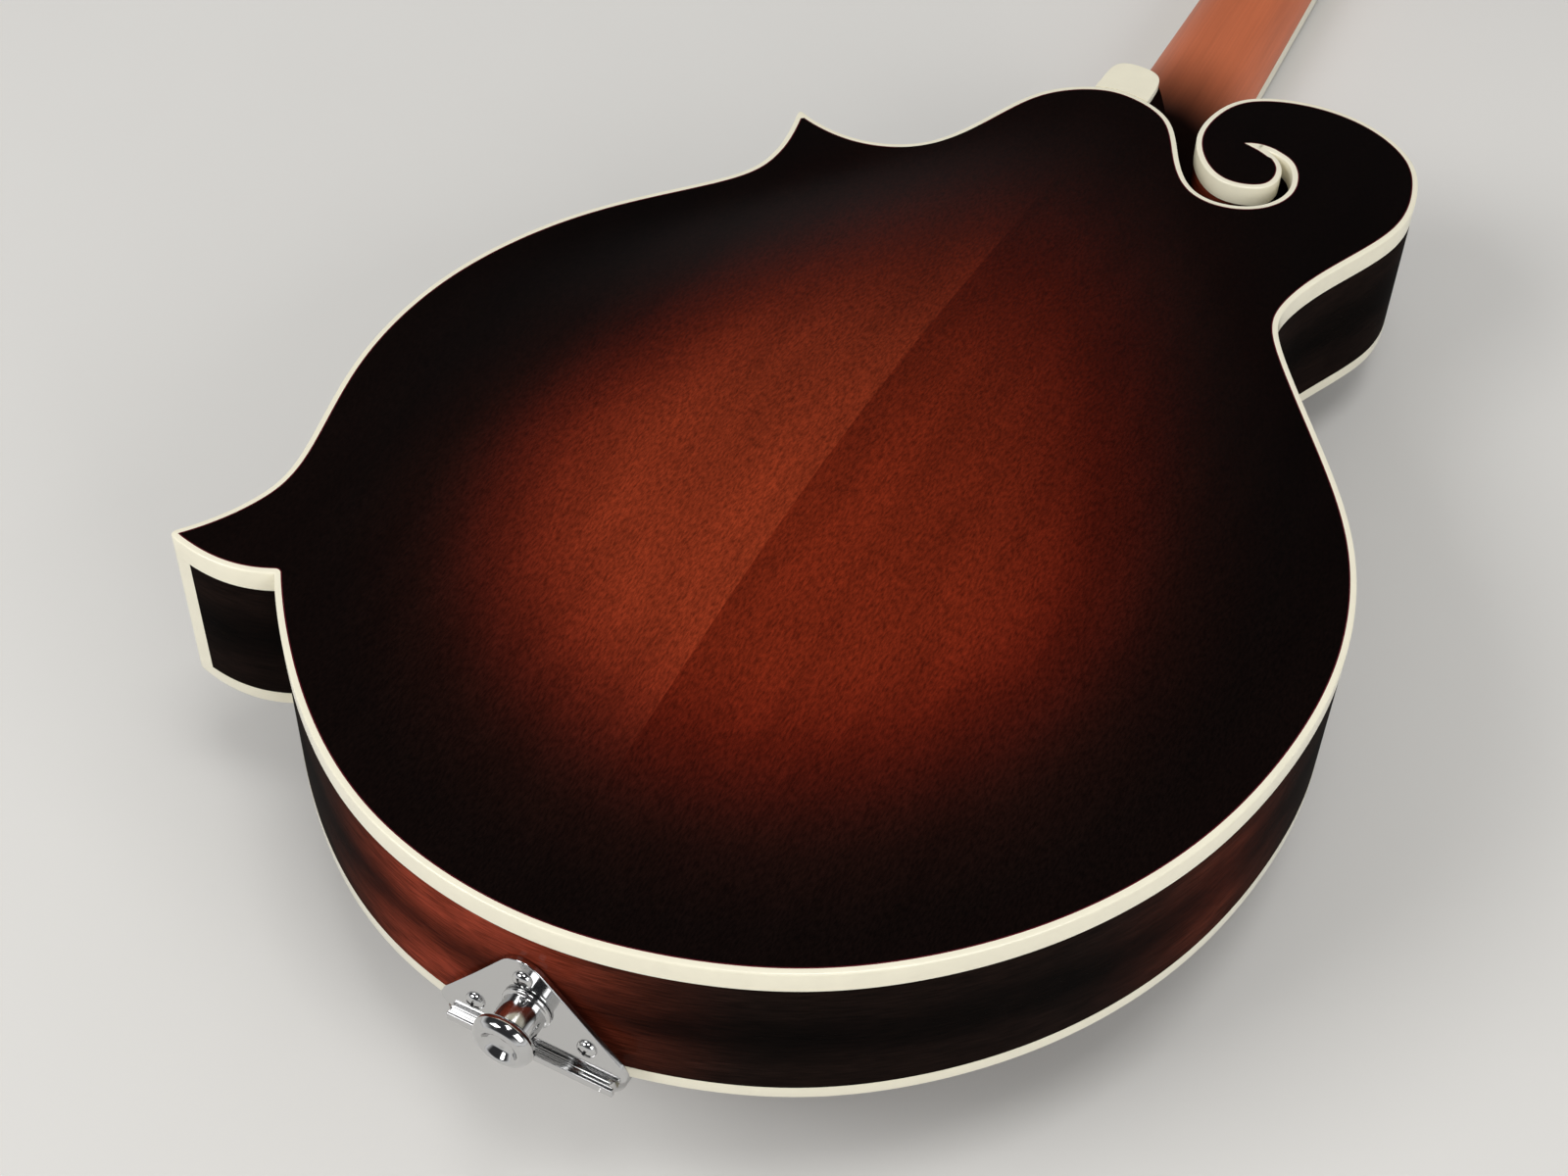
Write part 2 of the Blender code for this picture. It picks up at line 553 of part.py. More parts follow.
def build_rim(outline):
    """Bindings, ribs, linings, the point's cream cap and the inner blocks."""
    inner = inset(outline, BINDING_WIDTH)
    emit("back_binding", band(outline, inner, -BACK_BINDING_HEIGHT, 0.0), "cream_binding", BODY)
    emit("top_binding", band(outline, inner, TOP_Z, TOP_Z + TOP_BINDING_HEIGHT), "cream_binding", BODY)

    rib_low = TOP_Z + TOP_BINDING_HEIGHT + SEAM
    rib_high = -BACK_BINDING_HEIGHT - SEAM
    tip = Vector((-129.6, 54.2))
    corner = [tip + Vector((-3.0, -3.5)), Vector((tip.x + POINT_CAP, 47.5)), Vector((tip.x + POINT_CAP + 0.9, 58.0)),
              Vector((tip.x + 2.0, 63.0)), tip + Vector((-3.0, 8.0))]
    emit("lower_point_cap", prism([outline, corner], rib_low, rib_high,
                                  keep=lambda x, y: inside(outline, x, y) and inside(corner, x, y)),
         "cream_binding", BODY)
    cleared = inset(corner, -SEAM)
    blunt = longest_loop(*triangulate([outline, cleared], keep=lambda x, y: inside(outline, x, y)
                                      and not inside(cleared, x, y)))
    mortise = box_loop(-TENON_TOP_HALF - SEAM, TENON_TOP_HALF + SEAM, 303.0, 332.0)

    def uncut(x, y):
        return not inside(mortise, x, y)

    emit("rib", band(blunt, inset(blunt, RIB_THICKNESS), rib_low, rib_high, uncut, (mortise,)),
         "maple_sunburst", BODY)

    lining_outer = inset(blunt, RIB_THICKNESS + SEAM, 0.6)
    lining_inner = inset(blunt, RIB_THICKNESS + SEAM + LINING_WIDTH, 4.5)
    back_seat = -BACK_EDGE - SEAM
    top_seat = TOP_Z + TOP_EDGE + SEAM

    def foot(x, y):
        return 1.0 if edge_distance(blunt, x, y) > RIB_THICKNESS + SEAM + 1.5 else 0.0

    emit("lining_back", band(lining_outer, lining_inner,
                             lambda x, y: back_seat - LINING_HEIGHT + (LINING_HEIGHT - 2.5) * foot(x, y),
                             back_seat, uncut, (mortise,)), "bare_wood", BODY)
    emit("lining_top", band(lining_outer, lining_inner, top_seat,
                            lambda x, y: top_seat + LINING_HEIGHT - (LINING_HEIGHT - 2.5) * foot(x, y),
                            uncut, (mortise,)), "bare_wood", BODY)

    block_low = top_seat + LINING_HEIGHT + SEAM
    block_high = back_seat - LINING_HEIGHT - SEAM
    for name, corners in (
        ("head_block", ((-40.0, 287.0), (58.0, 284.0), (100.0, 290.0), (100.0, 360.0), (-40.0, 360.0))),
        ("tail_block", ((-34.0, -10.0), (34.0, -10.0), (30.0, BLOCK_DEPTH), (-30.0, BLOCK_DEPTH))),
        ("upper_point_block", ((-80.0, 250.0), (-70.0, 246.0), (-46.0, 264.0), (-52.0, 280.0), (-80.0, 280.0))),
        ("lower_point_block", ((-104.0, 40.0), (-93.0, 62.0), (-108.0, 96.0), (-140.0, 96.0), (-140.0, 40.0))),
    ):
        area = [Vector(c) for c in corners]
        emit(name, prism([lining_outer, area, mortise], block_low, block_high,
                         keep=lambda x, y: inside(lining_outer, x, y) and inside(area, x, y)
                         and not inside(mortise, x, y)), "bare_wood", BODY)

    heel_line = inset(outline, -SEAM)
    cap = [Vector(p) for p in HEEL_CAP]
    bore_frame = plane_frame(BODY, (0, 0, 0), (1, 0, 0), (0, 0, 1))
    bores = emit("tail_bores", bored(), "bare_wood", bore_frame, cutter=True)
    for name in ("rib", "tail_block"):
        combine(bpy.data.objects[name], bores, "DIFFERENCE")
    emit("heel_cap", prism([cap, heel_line], -HEEL_CAP_THICKNESS, 0.0,
                           keep=lambda x, y: inside(cap, x, y) and not inside(heel_line, x, y)),
         "cream_binding", BODY)


def bored():
    """The bores of the end pin and of the tailpiece's three screws."""
    bm = lathe([(PIN_SHANK + 0.3, -BLOCK_DEPTH - 6.0), (PIN_SHANK + 0.3, 4.0)], 16)
    bmesh.ops.translate(bm, vec=(0.0, PIN_Z, 0.0), verts=bm.verts)
    for x, z in TAIL_SCREWS.values():
        bore = lathe([(SCREW_SHANK + SEAM, -SCREW_REACH - 1.0), (SCREW_SHANK + SEAM, 4.0)], 10)
        bmesh.ops.translate(bore, vec=(x, z, 0.0), verts=bore.verts)
        loose = bpy.data.meshes.new("bore")
        bore.to_mesh(loose)
        bore.free()
        bm.from_mesh(loose)
        bpy.data.meshes.remove(loose)
    return bm


def neck_section(y, half, depth, flat, keel, groove=ROD_GROOVE):
    """One section of the neck with its rod groove; keel runs from a round shaft at 0 to a heel at 1."""
    shares = (0.0, 0.2, 0.42, 0.64, 0.84, 0.96, 1.0)
    power, root = 2.0 - keel, 2.0 - 0.6 * keel
    side = [(flat + (half - flat) * (1.0 - u ** power) ** (1.0 / root), NECK_FACE + depth * u) for u in shares]
    slot = 0.5 * ROD_SLOT
    right = [Vector((x, y, z)) for x, z in side]
    left = [Vector((-x, y, z)) for x, z in reversed(side)]
    return right + left + [Vector((-slot, y, NECK_FACE)), Vector((-slot, y, NECK_FACE + groove)),
                           Vector((slot, y, NECK_FACE + groove)), Vector((slot, y, NECK_FACE))]


def build_neck(outline):
    """Neck with heel and headstock, and what is glued or let into it."""
    cap_high = (BODY @ Vector((0.0, 340.0, -HEEL_CAP_THICKNESS - SEAM))).z
    cap_low = (BODY @ Vector((0.0, 326.0, -HEEL_CAP_THICKNESS - SEAM))).z

    def at(body_y):
        return (BODY @ Vector((0.0, body_y, 0.0))).y

    heel_start = at(324.0)

    def heel_depth(y):
        share = (y - at(327.0)) / (at(340.0) - at(327.0))
        return cap_low + (cap_high - cap_low) * share - NECK_FACE

    sections = [neck_section(y, board_half(y) - 0.1, 34.0, board_half(y) - 0.4, 0.0, 0.4)
                for y in (BOARD_END + 3.0, (BOARD_END + heel_start) / 2, heel_start - 8.0)]
    for body_y, flat in ((324.0, 7.6), (330.0, 7.5), (334.4, 7.2), (337.4, 6.0), (339.3, 3.8), (HEEL_TIP_Y, 1.6)):
        y = at(body_y)
        sections.append(neck_section(y, board_half(y), heel_depth(y), flat, 1.0))
    start, reach = at(HEEL_TIP_Y), 40.0
    full = heel_depth(start)
    for t in (0.985, 0.94, 0.86, 0.74, 0.58, 0.38, 0.16, 0.0):
        y = start + reach * (1.0 - t)
        shaft = SHAFT_DEPTH_NUT + (SHAFT_DEPTH_JOINT - SHAFT_DEPTH_NUT) * y / JOINT_Y
        depth = shaft + (full - shaft) * (1.0 - (1.0 - t ** 2.0) ** 0.5)
        sections.append(neck_section(y, board_half(y), depth, 1.5, t))
    for y in (-100.0, -60.0, -24.0):
        shaft = SHAFT_DEPTH_NUT + (SHAFT_DEPTH_JOINT - SHAFT_DEPTH_NUT) * y / JOINT_Y
        sections.append(neck_section(y, board_half(y), shaft, 1.5, 0.0))
    for y, thinner in ((-8.0, 0.6), (0.0, 1.7), (5.0, 2.6)):
        sections.append(neck_section(y, board_half(y), SHAFT_DEPTH_NUT - thinner, 1.5, 0.0))
    neck = emit("neck", skin(sections), "maple_neck", NECK)

    clear = inset(outline, -CUTAWAY_SEAM)
    near = [p for p in clear if p.y > 255.0 and -60.0 < p.x < 24.0]
    shell = [Vector((24.0, 250.0))] + near + [Vector((-60.0, 250.0))]
    columns = [Vector((x, y)) for x in (-20.0, -10.0, 0.0, 10.0, 20.0) for y in (262.0, 275.0, 288.0, 301.0)]
    body_cut = emit("neck_body_cut", prism([shell], lambda x, y: top_outer(x, y) - CUTAWAY_SEAM, 30.0, columns,
                                           lambda x, y: inside(shell, x, y)), "bare_wood", BODY, cutter=True)
    combine(neck, body_cut, "DIFFERENCE")
    tenon_low = TOP_Z + TOP_BINDING_HEIGHT + 2 * SEAM
    tenon_high = -BACK_BINDING_HEIGHT - 2 * SEAM
    tenon = [[Vector((s * w, y, z)) for w, z, s in (
        (TENON_TOP_HALF, tenon_low, -1), (TENON_TOP_HALF, tenon_low, 1),
        (TENON_BACK_HALF, tenon_high, 1), (TENON_BACK_HALF, tenon_high, -1))] for y in (304.0, 331.0)]
    combine(neck, emit("neck_tenon", skin(tenon), "maple_neck", BODY, cutter=True), "UNION")

    outline_head = thin(bspline(HEAD_OUTLINE), 0.2, 18.0)
    holes = [circle(POST_RADIUS + 0.5, 8, (side * POST_ROW_X, POST_FIRST_Y + POST_PITCH * k))
             for side in (-1, 1) for k in range(4)]

    def in_head(x, y):
        return inside(outline_head, x, y) and not any(inside(h, x, y) for h in holes)

    slab = emit("neck_head_slab", prism([outline_head] + holes, 0.0, HEAD_THICKNESS, keep=in_head),
                "maple_neck", HEAD, cutter=True)
    combine(neck, slab, "UNION")
    pocket = emit("neck_rod_pocket", plate(box_loop(-3.6, 3.6, -4.5, 20.0), -6.0, 6.4), "maple_neck", HEAD,
                  cutter=True)
    combine(neck, pocket, "DIFFERENCE")

    face = [p for p in outline_head if p.y > 1.5]
    face = [Vector((face[0].x - 0.2, 0.6))] + face + [Vector((face[-1].x + 0.2, 0.6))]
    rod_window = box_loop(-3.6, 3.6, 0.2, 20.0)
    veneer = prism([face, rod_window] + holes, -SEAM - VENEER, -SEAM, keep=lambda x, y: inside(face, x, y)
                   and not inside(rod_window, x, y) and not any(inside(h, x, y) for h in holes))
    emit("headstock_veneer", veneer, "ebony", HEAD)
    bell = [Vector((s * x, y)) for s, pts in (
        (1, ((7.5, 3.4), (7.5, 8.0), (6.0, 16.0), (5.6, 24.0), (3.0, 29.0))),
        (-1, ((3.0, 29.0), (5.6, 24.0), (6.0, 16.0), (7.5, 8.0), (7.5, 3.4)))) for x, y in pts]
    cover_face = -2 * SEAM - VENEER
    emit("truss_rod_cover", plate(bell, cover_face - 1.6, cover_face), "ebony", HEAD)

    rod = [(ROD_DIAMETER / 2, start + 1.5), (ROD_DIAMETER / 2, 10.0), (ROD_DIAMETER / 2 - 0.8, 11.5)]
    rod_frame = plane_frame(NECK, (0.0, 0.0, NECK_FACE + ROD_GROOVE / 2), (1, 0, 0), (0, 0, -1))
    emit("truss_rod", lathe(rod, 10), "steel", rod_frame)


def build_board():
    """Fretted board with its cream edging, and the nut."""
    side = board_half
    inner_end = BOARD_END + BOARD_BINDING + SEAM
    frets = [-SCALE_LENGTH * (1.0 - 2.0 ** (-n / 12.0)) for n in range(1, FRETS + 1)]
    profile = [Vector((inner_end, BOARD_BACK)), Vector((inner_end, BOARD_FACE))]
    for y in reversed(frets):
        profile += [Vector((y - 0.9, BOARD_FACE)), Vector((y - 0.35, FRET_GAP)),
                    Vector((y + 0.35, FRET_GAP)), Vector((y + 0.9, BOARD_FACE))]
    profile += [Vector((-SEAM, BOARD_FACE)), Vector((-SEAM, BOARD_BACK))]
    side_frame = plane_frame(NECK, (0, 0, 0), (0, 1, 0), (0, 0, 1))
    reach = BOARD_BINDING + SEAM
    emit("fingerboard", prism([profile], lambda y, z: reach - side(y), lambda y, z: side(y) - reach,
                              keep=lambda y, z: inside(profile, y, z)), "ebony", side_frame)
    outer = [Vector((-side(BOARD_END), BOARD_END)), Vector((side(BOARD_END), BOARD_END)),
             Vector((side(-SEAM), -SEAM)), Vector((-side(-SEAM), -SEAM))]
    inner = [Vector((BOARD_BINDING - side(inner_end), inner_end - SEAM)),
             Vector((side(inner_end) - BOARD_BINDING, inner_end - SEAM)),
             Vector((side(4.0) - BOARD_BINDING, 4.0)), Vector((BOARD_BINDING - side(4.0), 4.0))]
    emit("fingerboard_binding", prism([outer, inner], BOARD_FACE, BOARD_BACK, keep=lambda x, y: inside(
        outer, x, y) and not inside(inner, x, y)), "cream_binding", NECK)

    crest = notched(STRING_AT_NUT, 13.6, 0.25)
    nut = [Vector((-14.0, NECK_FACE - SEAM - 0.1)), Vector((-14.2, 1.6))] + crest + [
        Vector((14.2, 1.6)), Vector((14.0, NECK_FACE - SEAM - 0.1))]
    nut_frame = plane_frame(NECK, (0.0, NUT_LENGTH, 0.0), (1, 0, 0), (0, 0, 1))
    emit("nut", plate(nut, 0.0, NUT_LENGTH - SEAM), "bone", nut_frame)


def notched(centres, reach, crest):
    """A crest line from -reach to reach with a slot for each string."""
    line = [Vector((-reach, crest))]
    for x, wide in zip(centres, STRING_DIAMETERS):
        half = wide / 2 + 0.12
        line += [Vector((x - half, crest)), Vector((x - half, wide + 0.12)),
                 Vector((x + half, wide + 0.12)), Vector((x + half, crest))]
    return line + [Vector((reach, crest))]


def post_places():
    """(side, index, x, y) of the eight posts in the head frame."""
    return [(side, k, (1 if side == "treble" else -1) * POST_ROW_X, POST_FIRST_Y + POST_PITCH * k)
            for side in ("bass", "treble") for k in range(4)]


def build_machines():
    """Two machine plates, each with four posts and four worms."""
    rear = HEAD_THICKNESS + SEAM
    worm_z = rear + MACHINE_PLATE + 3.4
    gear_low = worm_z - GEAR_LENGTH / 2
    worm_off = GEAR_RADIUS + WORM_RADIUS + WORM_CLEARANCE
    last_y = POST_FIRST_Y + 3 * POST_PITCH
    for side, sign in (("bass", -1), ("treble", 1)):
        rows = [POST_FIRST_Y + POST_PITCH * k for k in range(4)]
        x0, x1 = sorted((sign * 12.6, sign * 27.6))
        sheet = box_loop(x0, x1, POST_FIRST_Y - 9.5, last_y + 15.5)
        holes = [circle(POST_RADIUS + 0.4, 8, (sign * POST_ROW_X, y)) for y in rows]
        flat = prism([sheet] + holes, rear, rear + MACHINE_PLATE,
                     keep=lambda x, y: inside(sheet, x, y) and not any(inside(h, x, y) for h in holes))
        body = emit("tuner_plate_" + side, flat, "chrome", HEAD)
        comb = [Vector((POST_FIRST_Y - 8.5, rear + 0.5))]
        eyes = []
        for y in (r + worm_off for r in rows):
            comb += [Vector((y - 3.2, rear + 0.5)), Vector((y - 1.6, worm_z + 2.8)),
                     Vector((y + 1.6, worm_z + 2.8)), Vector((y + 3.2, rear + 0.5))]
            eyes.append(circle(1.75, 8, (y, worm_z)))
        comb.append(Vector((last_y + 14.5, rear + 0.5)))
        comb += [Vector((last_y + 14.5, rear + 0.3)), Vector((POST_FIRST_Y - 8.5, rear + 0.3))]
        comb.reverse()
        lug_frame = plane_frame(HEAD, (0, 0, 0), (0, 1, 0), (0, 0, 1))
        for where in (13.1, 25.1):
            low, high = sorted((sign * where, sign * (where + 2.0)))
            row = prism([comb] + eyes, low, high,
                        keep=lambda y, z: inside(comb, y, z) and not any(inside(e, y, z) for e in eyes))
            combine(body, emit("lugs_%s_%d" % (side, where), row, "chrome", lug_frame, cutter=True), "UNION")

    tip = -SEAM - VENEER - POST_OUT
    teeth = [Vector((r * math.cos(a), r * math.sin(a))) for r, a in (
        (GEAR_RADIUS if k % 2 else GEAR_RADIUS - 0.9, math.pi * k / GEAR_TEETH) for k in range(2 * GEAR_TEETH))]
    for side, k, x, y in post_places():
        layers = []
        outlines = ((2.2, tip, 2.8, tip + 0.6), (2.8, tip + 0.6, 2.8, tip + 3.0), (2.8, tip + 3.0, 2.2, tip + 3.8),
                    (2.2, tip + 3.8, 2.2, tip + 7.4), (2.2, tip + 7.4, 3.0, tip + 8.4),
                    (3.0, tip + 8.4, 3.0, gear_low))
        for r0, z0, r1, z1 in outlines:
            layers.append((circle(r0, 8), z0, circle(r1, 8), z1))
        layers.append((teeth, gear_low, teeth, gear_low + GEAR_LENGTH))
        layers.append((circle(2.0, 8), gear_low + GEAR_LENGTH, circle(1.7, 8), gear_low + GEAR_LENGTH + 1.0))
        bm = stack(layers)
        bmesh.ops.translate(bm, vec=(x, y, 0.0), verts=bm.verts)
        emit("post_%s_%d" % (side, k + 1), bm, "chrome", HEAD, (x, y, 0.0))

        sign = 1 if x > 0 else -1
        shaft = [(1.5, 11.8), (1.5, 15.3)]
        for ridge in range(3):
            shaft += [(1.9, 16.0 + ridge * 2.8), (WORM_RADIUS, 17.4 + ridge * 2.8)]
        shaft += [(1.5, 24.6), (1.5, 31.4), (2.6, 32.0), (2.6, 33.4)]
        layers = [(circle(r0, 8), z0, circle(r1, 8), z1) for (r0, z0), (r1, z1) in zip(shaft, shaft[1:])]
        shape = ((2.8, 4.8, 33.4), (3.3, 7.6, 35.2), (3.4, 8.6, 39.0), (3.1, 7.6, 43.2), (2.0, 4.4, 46.8))
        layers += [(oval(a, b, 12), z0, oval(c, d, 12), z1) for (a, b, z0), (c, d, z1) in zip(shape, shape[1:])]
        centre = (0.0, y + worm_off, worm_z)
        worm_frame = plane_frame(HEAD, centre, (0, 0, 1), (0, -sign, 0))
        emit("worm_button_%s_%d" % (side, k + 1), stack(layers), "chrome", worm_frame)


def top_surface(x, y):
    """Height in the neck frame of the top's outer face, over a point of the neck frame."""
    back = BODY.inverted()
    z = 15.0
    for _ in range(4):
        p = back @ Vector((x, y, z))
        z += (top_outer(p.x, p.y) - p.z) / math.cos(NECK_ANGLE)
    return z


def build_bridge():
    """Two-piece adjustable bridge: base, studs, thumbwheels and slotted saddle."""
    saddle_foot = 0.25 + SADDLE_HEIGHT
    wheel_low = saddle_foot + SEAM
    base_low = wheel_low + WHEEL_THICKNESS + SADDLE_TRAVEL + 0.4
    y0 = -SCALE_LENGTH
    xs = [-55.0, -46.0, -36.0, -22.0, -13.0, -8.0, 0.0, 8.0, 13.0, 22.0, 36.0, 46.0, 55.0]
    near = [Vector((x, y0 - (5.5 if abs(x) < 50 else 3.4))) for x in xs]
    far = [Vector((x, y0 + (5.5 if abs(x) < 50 else 3.4))) for x in reversed(xs)]
    holes = [circle(STUD_RADIUS + 0.15, 8, (s * BRIDGE_STUD_X, y0)) for s in (-1, 1)]
    loop = near + far

    def base_top(x, y):
        return base_low + max(0.0, abs(x) - 35.0) * 0.3

    def base_foot(x, y):
        return top_surface(x, y) - SEAM - (1.6 if abs(x) < 9.0 else 0.0)

    emit("bridge_base", prism([loop] + holes, base_top, base_foot, keep=lambda x, y: inside(loop, x, y)
                              and not any(inside(h, x, y) for h in holes)), "ebony", NECK)
    crest = notched(STRING_AT_BRIDGE, 24.0, 0.25)
    rim = [Vector((-36.0, saddle_foot)), Vector((-36.0, 3.6)), Vector((-33.0, 2.6))] + crest + [
        Vector((33.0, 2.6)), Vector((36.0, 3.6)), Vector((36.0, saddle_foot)), Vector((21.0, saddle_foot)),
        Vector((17.0, saddle_foot - 1.4)), Vector((-17.0, saddle_foot - 1.4)), Vector((-21.0, saddle_foot))]
    saddle_frame = plane_frame(NECK, (0.0, y0, 0.0), (1, 0, 0), (0, 0, 1))
    saddle = emit("bridge_saddle", plate(rim, -SADDLE_LENGTH / 2, SADDLE_LENGTH / 2), "ebony", saddle_frame)
    for name, sign in (("bass", -1), ("treble", 1)):
        x = sign * BRIDGE_STUD_X
        bore_end = STUD_TIP - SADDLE_TRAVEL - CUTAWAY_SEAM
        bore = lathe([(STUD_RADIUS + 0.25, bore_end), (STUD_RADIUS + 0.25, saddle_foot + 3.0)], 12)
        at = plane_frame(NECK, (x, y0, 0.0), (1, 0, 0), (0, 1, 0))
        combine(saddle, emit("saddle_bore_" + name, bore, "ebony", at, cutter=True), "DIFFERENCE")
        stud_end = top_surface(x, y0) - SEAM - 0.8
        stud = [(STUD_RADIUS - 0.4, STUD_TIP), (STUD_RADIUS, STUD_TIP + 0.4), (STUD_RADIUS, stud_end)]
        emit("bridge_stud_" + name, lathe(stud, 8), "chrome", at)
        rim_points = [Vector((r * math.cos(a), r * math.sin(a))) for r, a in (
            (WHEEL_RADIUS if k % 2 else WHEEL_RADIUS - 0.45, math.pi * k / 14) for k in range(28))]
        eye = circle(STUD_RADIUS + 0.2, 10)
        emit("thumbwheel_" + name, band(rim_points, eye, wheel_low, wheel_low + WHEEL_THICKNESS), "chrome", at)


def build_tail():
    """Tailpiece base and cover, end pin and three screws."""
    face = -SEAM - 0.1
    outer = face - TAIL_PLATE
    plate_loop = [Vector((x, TOP_Z + height)) for x, height in (
        (-21.0, -0.7), (21.0, -0.7), (21.3, 2.9), (23.6, 3.6), (24.6, 5.7), (23.6, 7.9), (13.5, 20.2),
        (3.8, 31.6), (1.6, 33.0), (-1.6, 33.0), (-3.8, 31.6), (-13.5, 20.2), (-23.6, 7.9), (-24.6, 5.7),
        (-23.6, 3.6), (-21.3, 2.9))]
    pin_hole = circle(PIN_SHANK + 0.4, 12, (0.0, PIN_Z))
    holes = [pin_hole] + [circle(1.3, 8, at) for at in TAIL_SCREWS.values()]
    upright = plane_frame(BODY, (0.0, 0.0, 0.0), (1, 0, 0), (0, 0, 1))
    base = emit("tailpiece_base", prism([plate_loop] + holes, -face, -outer, keep=lambda x, z: inside(
        plate_loop, x, z) and not any(inside(h, x, z) for h in holes)), "chrome", upright)
    deck = TOP_Z - SEAM - 0.1
    tray_loop = [Vector(p) for p in ((-20.5, outer + 0.2), (20.5, outer + 0.2), (22.5, 6.0), (22.5, 24.0),
                                     (22.5, 38.0), (17.5, 43.0), (-17.5, 43.0), (-22.5, 38.0), (-22.5, 24.0),
                                     (-22.5, 6.0))]

    def tray_face(x, y):
        return min(deck, top_outer(x, y) - BAR_SEAM)

    lines = [Vector((x, y)) for x in (-15.0, 0.0, 15.0) for y in (12.0, 20.0, 28.0, 36.0)]
    tray = emit("tailpiece_tray", prism([tray_loop], lambda x, y: tray_face(x, y) - TAIL_PLATE, tray_face, lines,
                                        lambda x, y: inside(tray_loop, x, y)), "chrome", BODY, cutter=True)
    combine(base, tray, "UNION")
    teeth_frame = plane_frame(BODY, (0.0, HOOK_Y, 0.0), (1, 0, 0), (0, 0, 1))
    low, high = tray_face(20.0, HOOK_Y) - 0.5, HOOK_Z - 1.4
    comb = [Vector((21.0, low)), Vector((-21.0, low))]
    for x in (TAIL_SPREAD * v for v in STRING_AT_BRIDGE):
        comb += [Vector((x - 1.0, low - 1.2)), Vector((x - 0.7, high)), Vector((x + 0.7, high)),
                 Vector((x + 1.0, low - 1.2))]
    hooks = emit("tailpiece_hooks", plate(comb, 0.0, 1.6), "chrome", teeth_frame, cutter=True)
    combine(base, hooks, "UNION")

    wall = 1.0
    rear = outer - SEAM - 0.1 - wall
    shape = [Vector(p) for p in ((-24.8, 4.0), (-22.0, rear), (22.0, rear), (24.8, 4.0), (24.8, 40.0), (20.0, 50.0),
                                 (8.0, 54.0), (-8.0, 54.0), (-20.0, 50.0), (-24.8, 40.0))]
    ridge = inset(shape, 2.4)

    def crown(y):
        return TOP_Z - 8.5 - 0.11 * y

    def rise(x, y):
        return crown(y) + 1.6 * min(1.0, max(0.0, 1.0 - edge_distance(shape, x, y) / 2.4))

    def cover_foot(x, y):
        if y < 0.0:
            return TOP_Z + 1.0
        return top_outer(x, y) - BAR_SEAM - TAIL_PLATE - SEAM

    cover = emit("tailpiece_cover", prism([shape, ridge], rise, cover_foot,
                                          keep=lambda x, y: inside(shape, x, y)), "chrome", BODY)
    hollow_loop = inset(shape, wall)
    hollow = emit("cover_hollow", prism([hollow_loop], lambda x, y: crown(y) + wall + 0.5, TOP_Z + 8.0,
                                        keep=lambda x, y: inside(hollow_loop, x, y)), "chrome", BODY, cutter=True)
    combine(cover, hollow, "DIFFERENCE")
    mouth = box_loop(-20.6, 20.6, 44.0, 58.0)
    mouth_cut = plate(mouth, lambda x, y: crown(y) + 2.0, TOP_Z + 9.0)
    combine(cover, emit("cover_mouth", mouth_cut, "chrome", BODY, cutter=True), "DIFFERENCE")
    lip_frame = plane_frame(BODY, (0.0, rear - 0.6, TOP_Z + 0.4), (0, 1, 0), (0, 0, 1))
    lip = lathe([(1.1, -20.4), (1.45, -19.6), (1.45, 19.6), (1.1, 20.4)], 10, turn=0.3)
    combine(cover, emit("cover_lip", lip, "chrome", lip_frame, cutter=True), "UNION")

    drive = plane_frame(BODY, (0.0, outer - SEAM, PIN_Z), (1, 0, 0), (0, 0, 1))
    pin = [(2.6, -14.0), (PIN_SHANK, SEAM), (6.5, SEAM), (6.5, 0.9), (6.0, 1.5), (4.3, 2.0), (3.9, 4.2),
           (4.4, 6.6), (6.2, 8.4), (7.3, 9.4), (7.5, PIN_OUT - 2.2), (7.0, PIN_OUT - 1.7), (5.4, PIN_OUT - 2.0),
           (2.4, PIN_OUT - 3.0)]
    emit("end_pin", lathe(pin, 16), "chrome", drive)
    for name, (x, z) in TAIL_SCREWS.items():
        at = plane_frame(BODY, (x, outer - SEAM, z), (1, 0, 0), (0, 0, 1))
        tip = outer - SEAM - SCREW_REACH
        screw = [(0.6, tip), (SCREW_SHANK, tip + 0.8), (SCREW_SHANK, 0.0), (2.7, 0.0), (2.5, 0.8), (1.2, 1.5)]
        emit("tail_screw_" + name, lathe(screw, 10), "chrome", at)


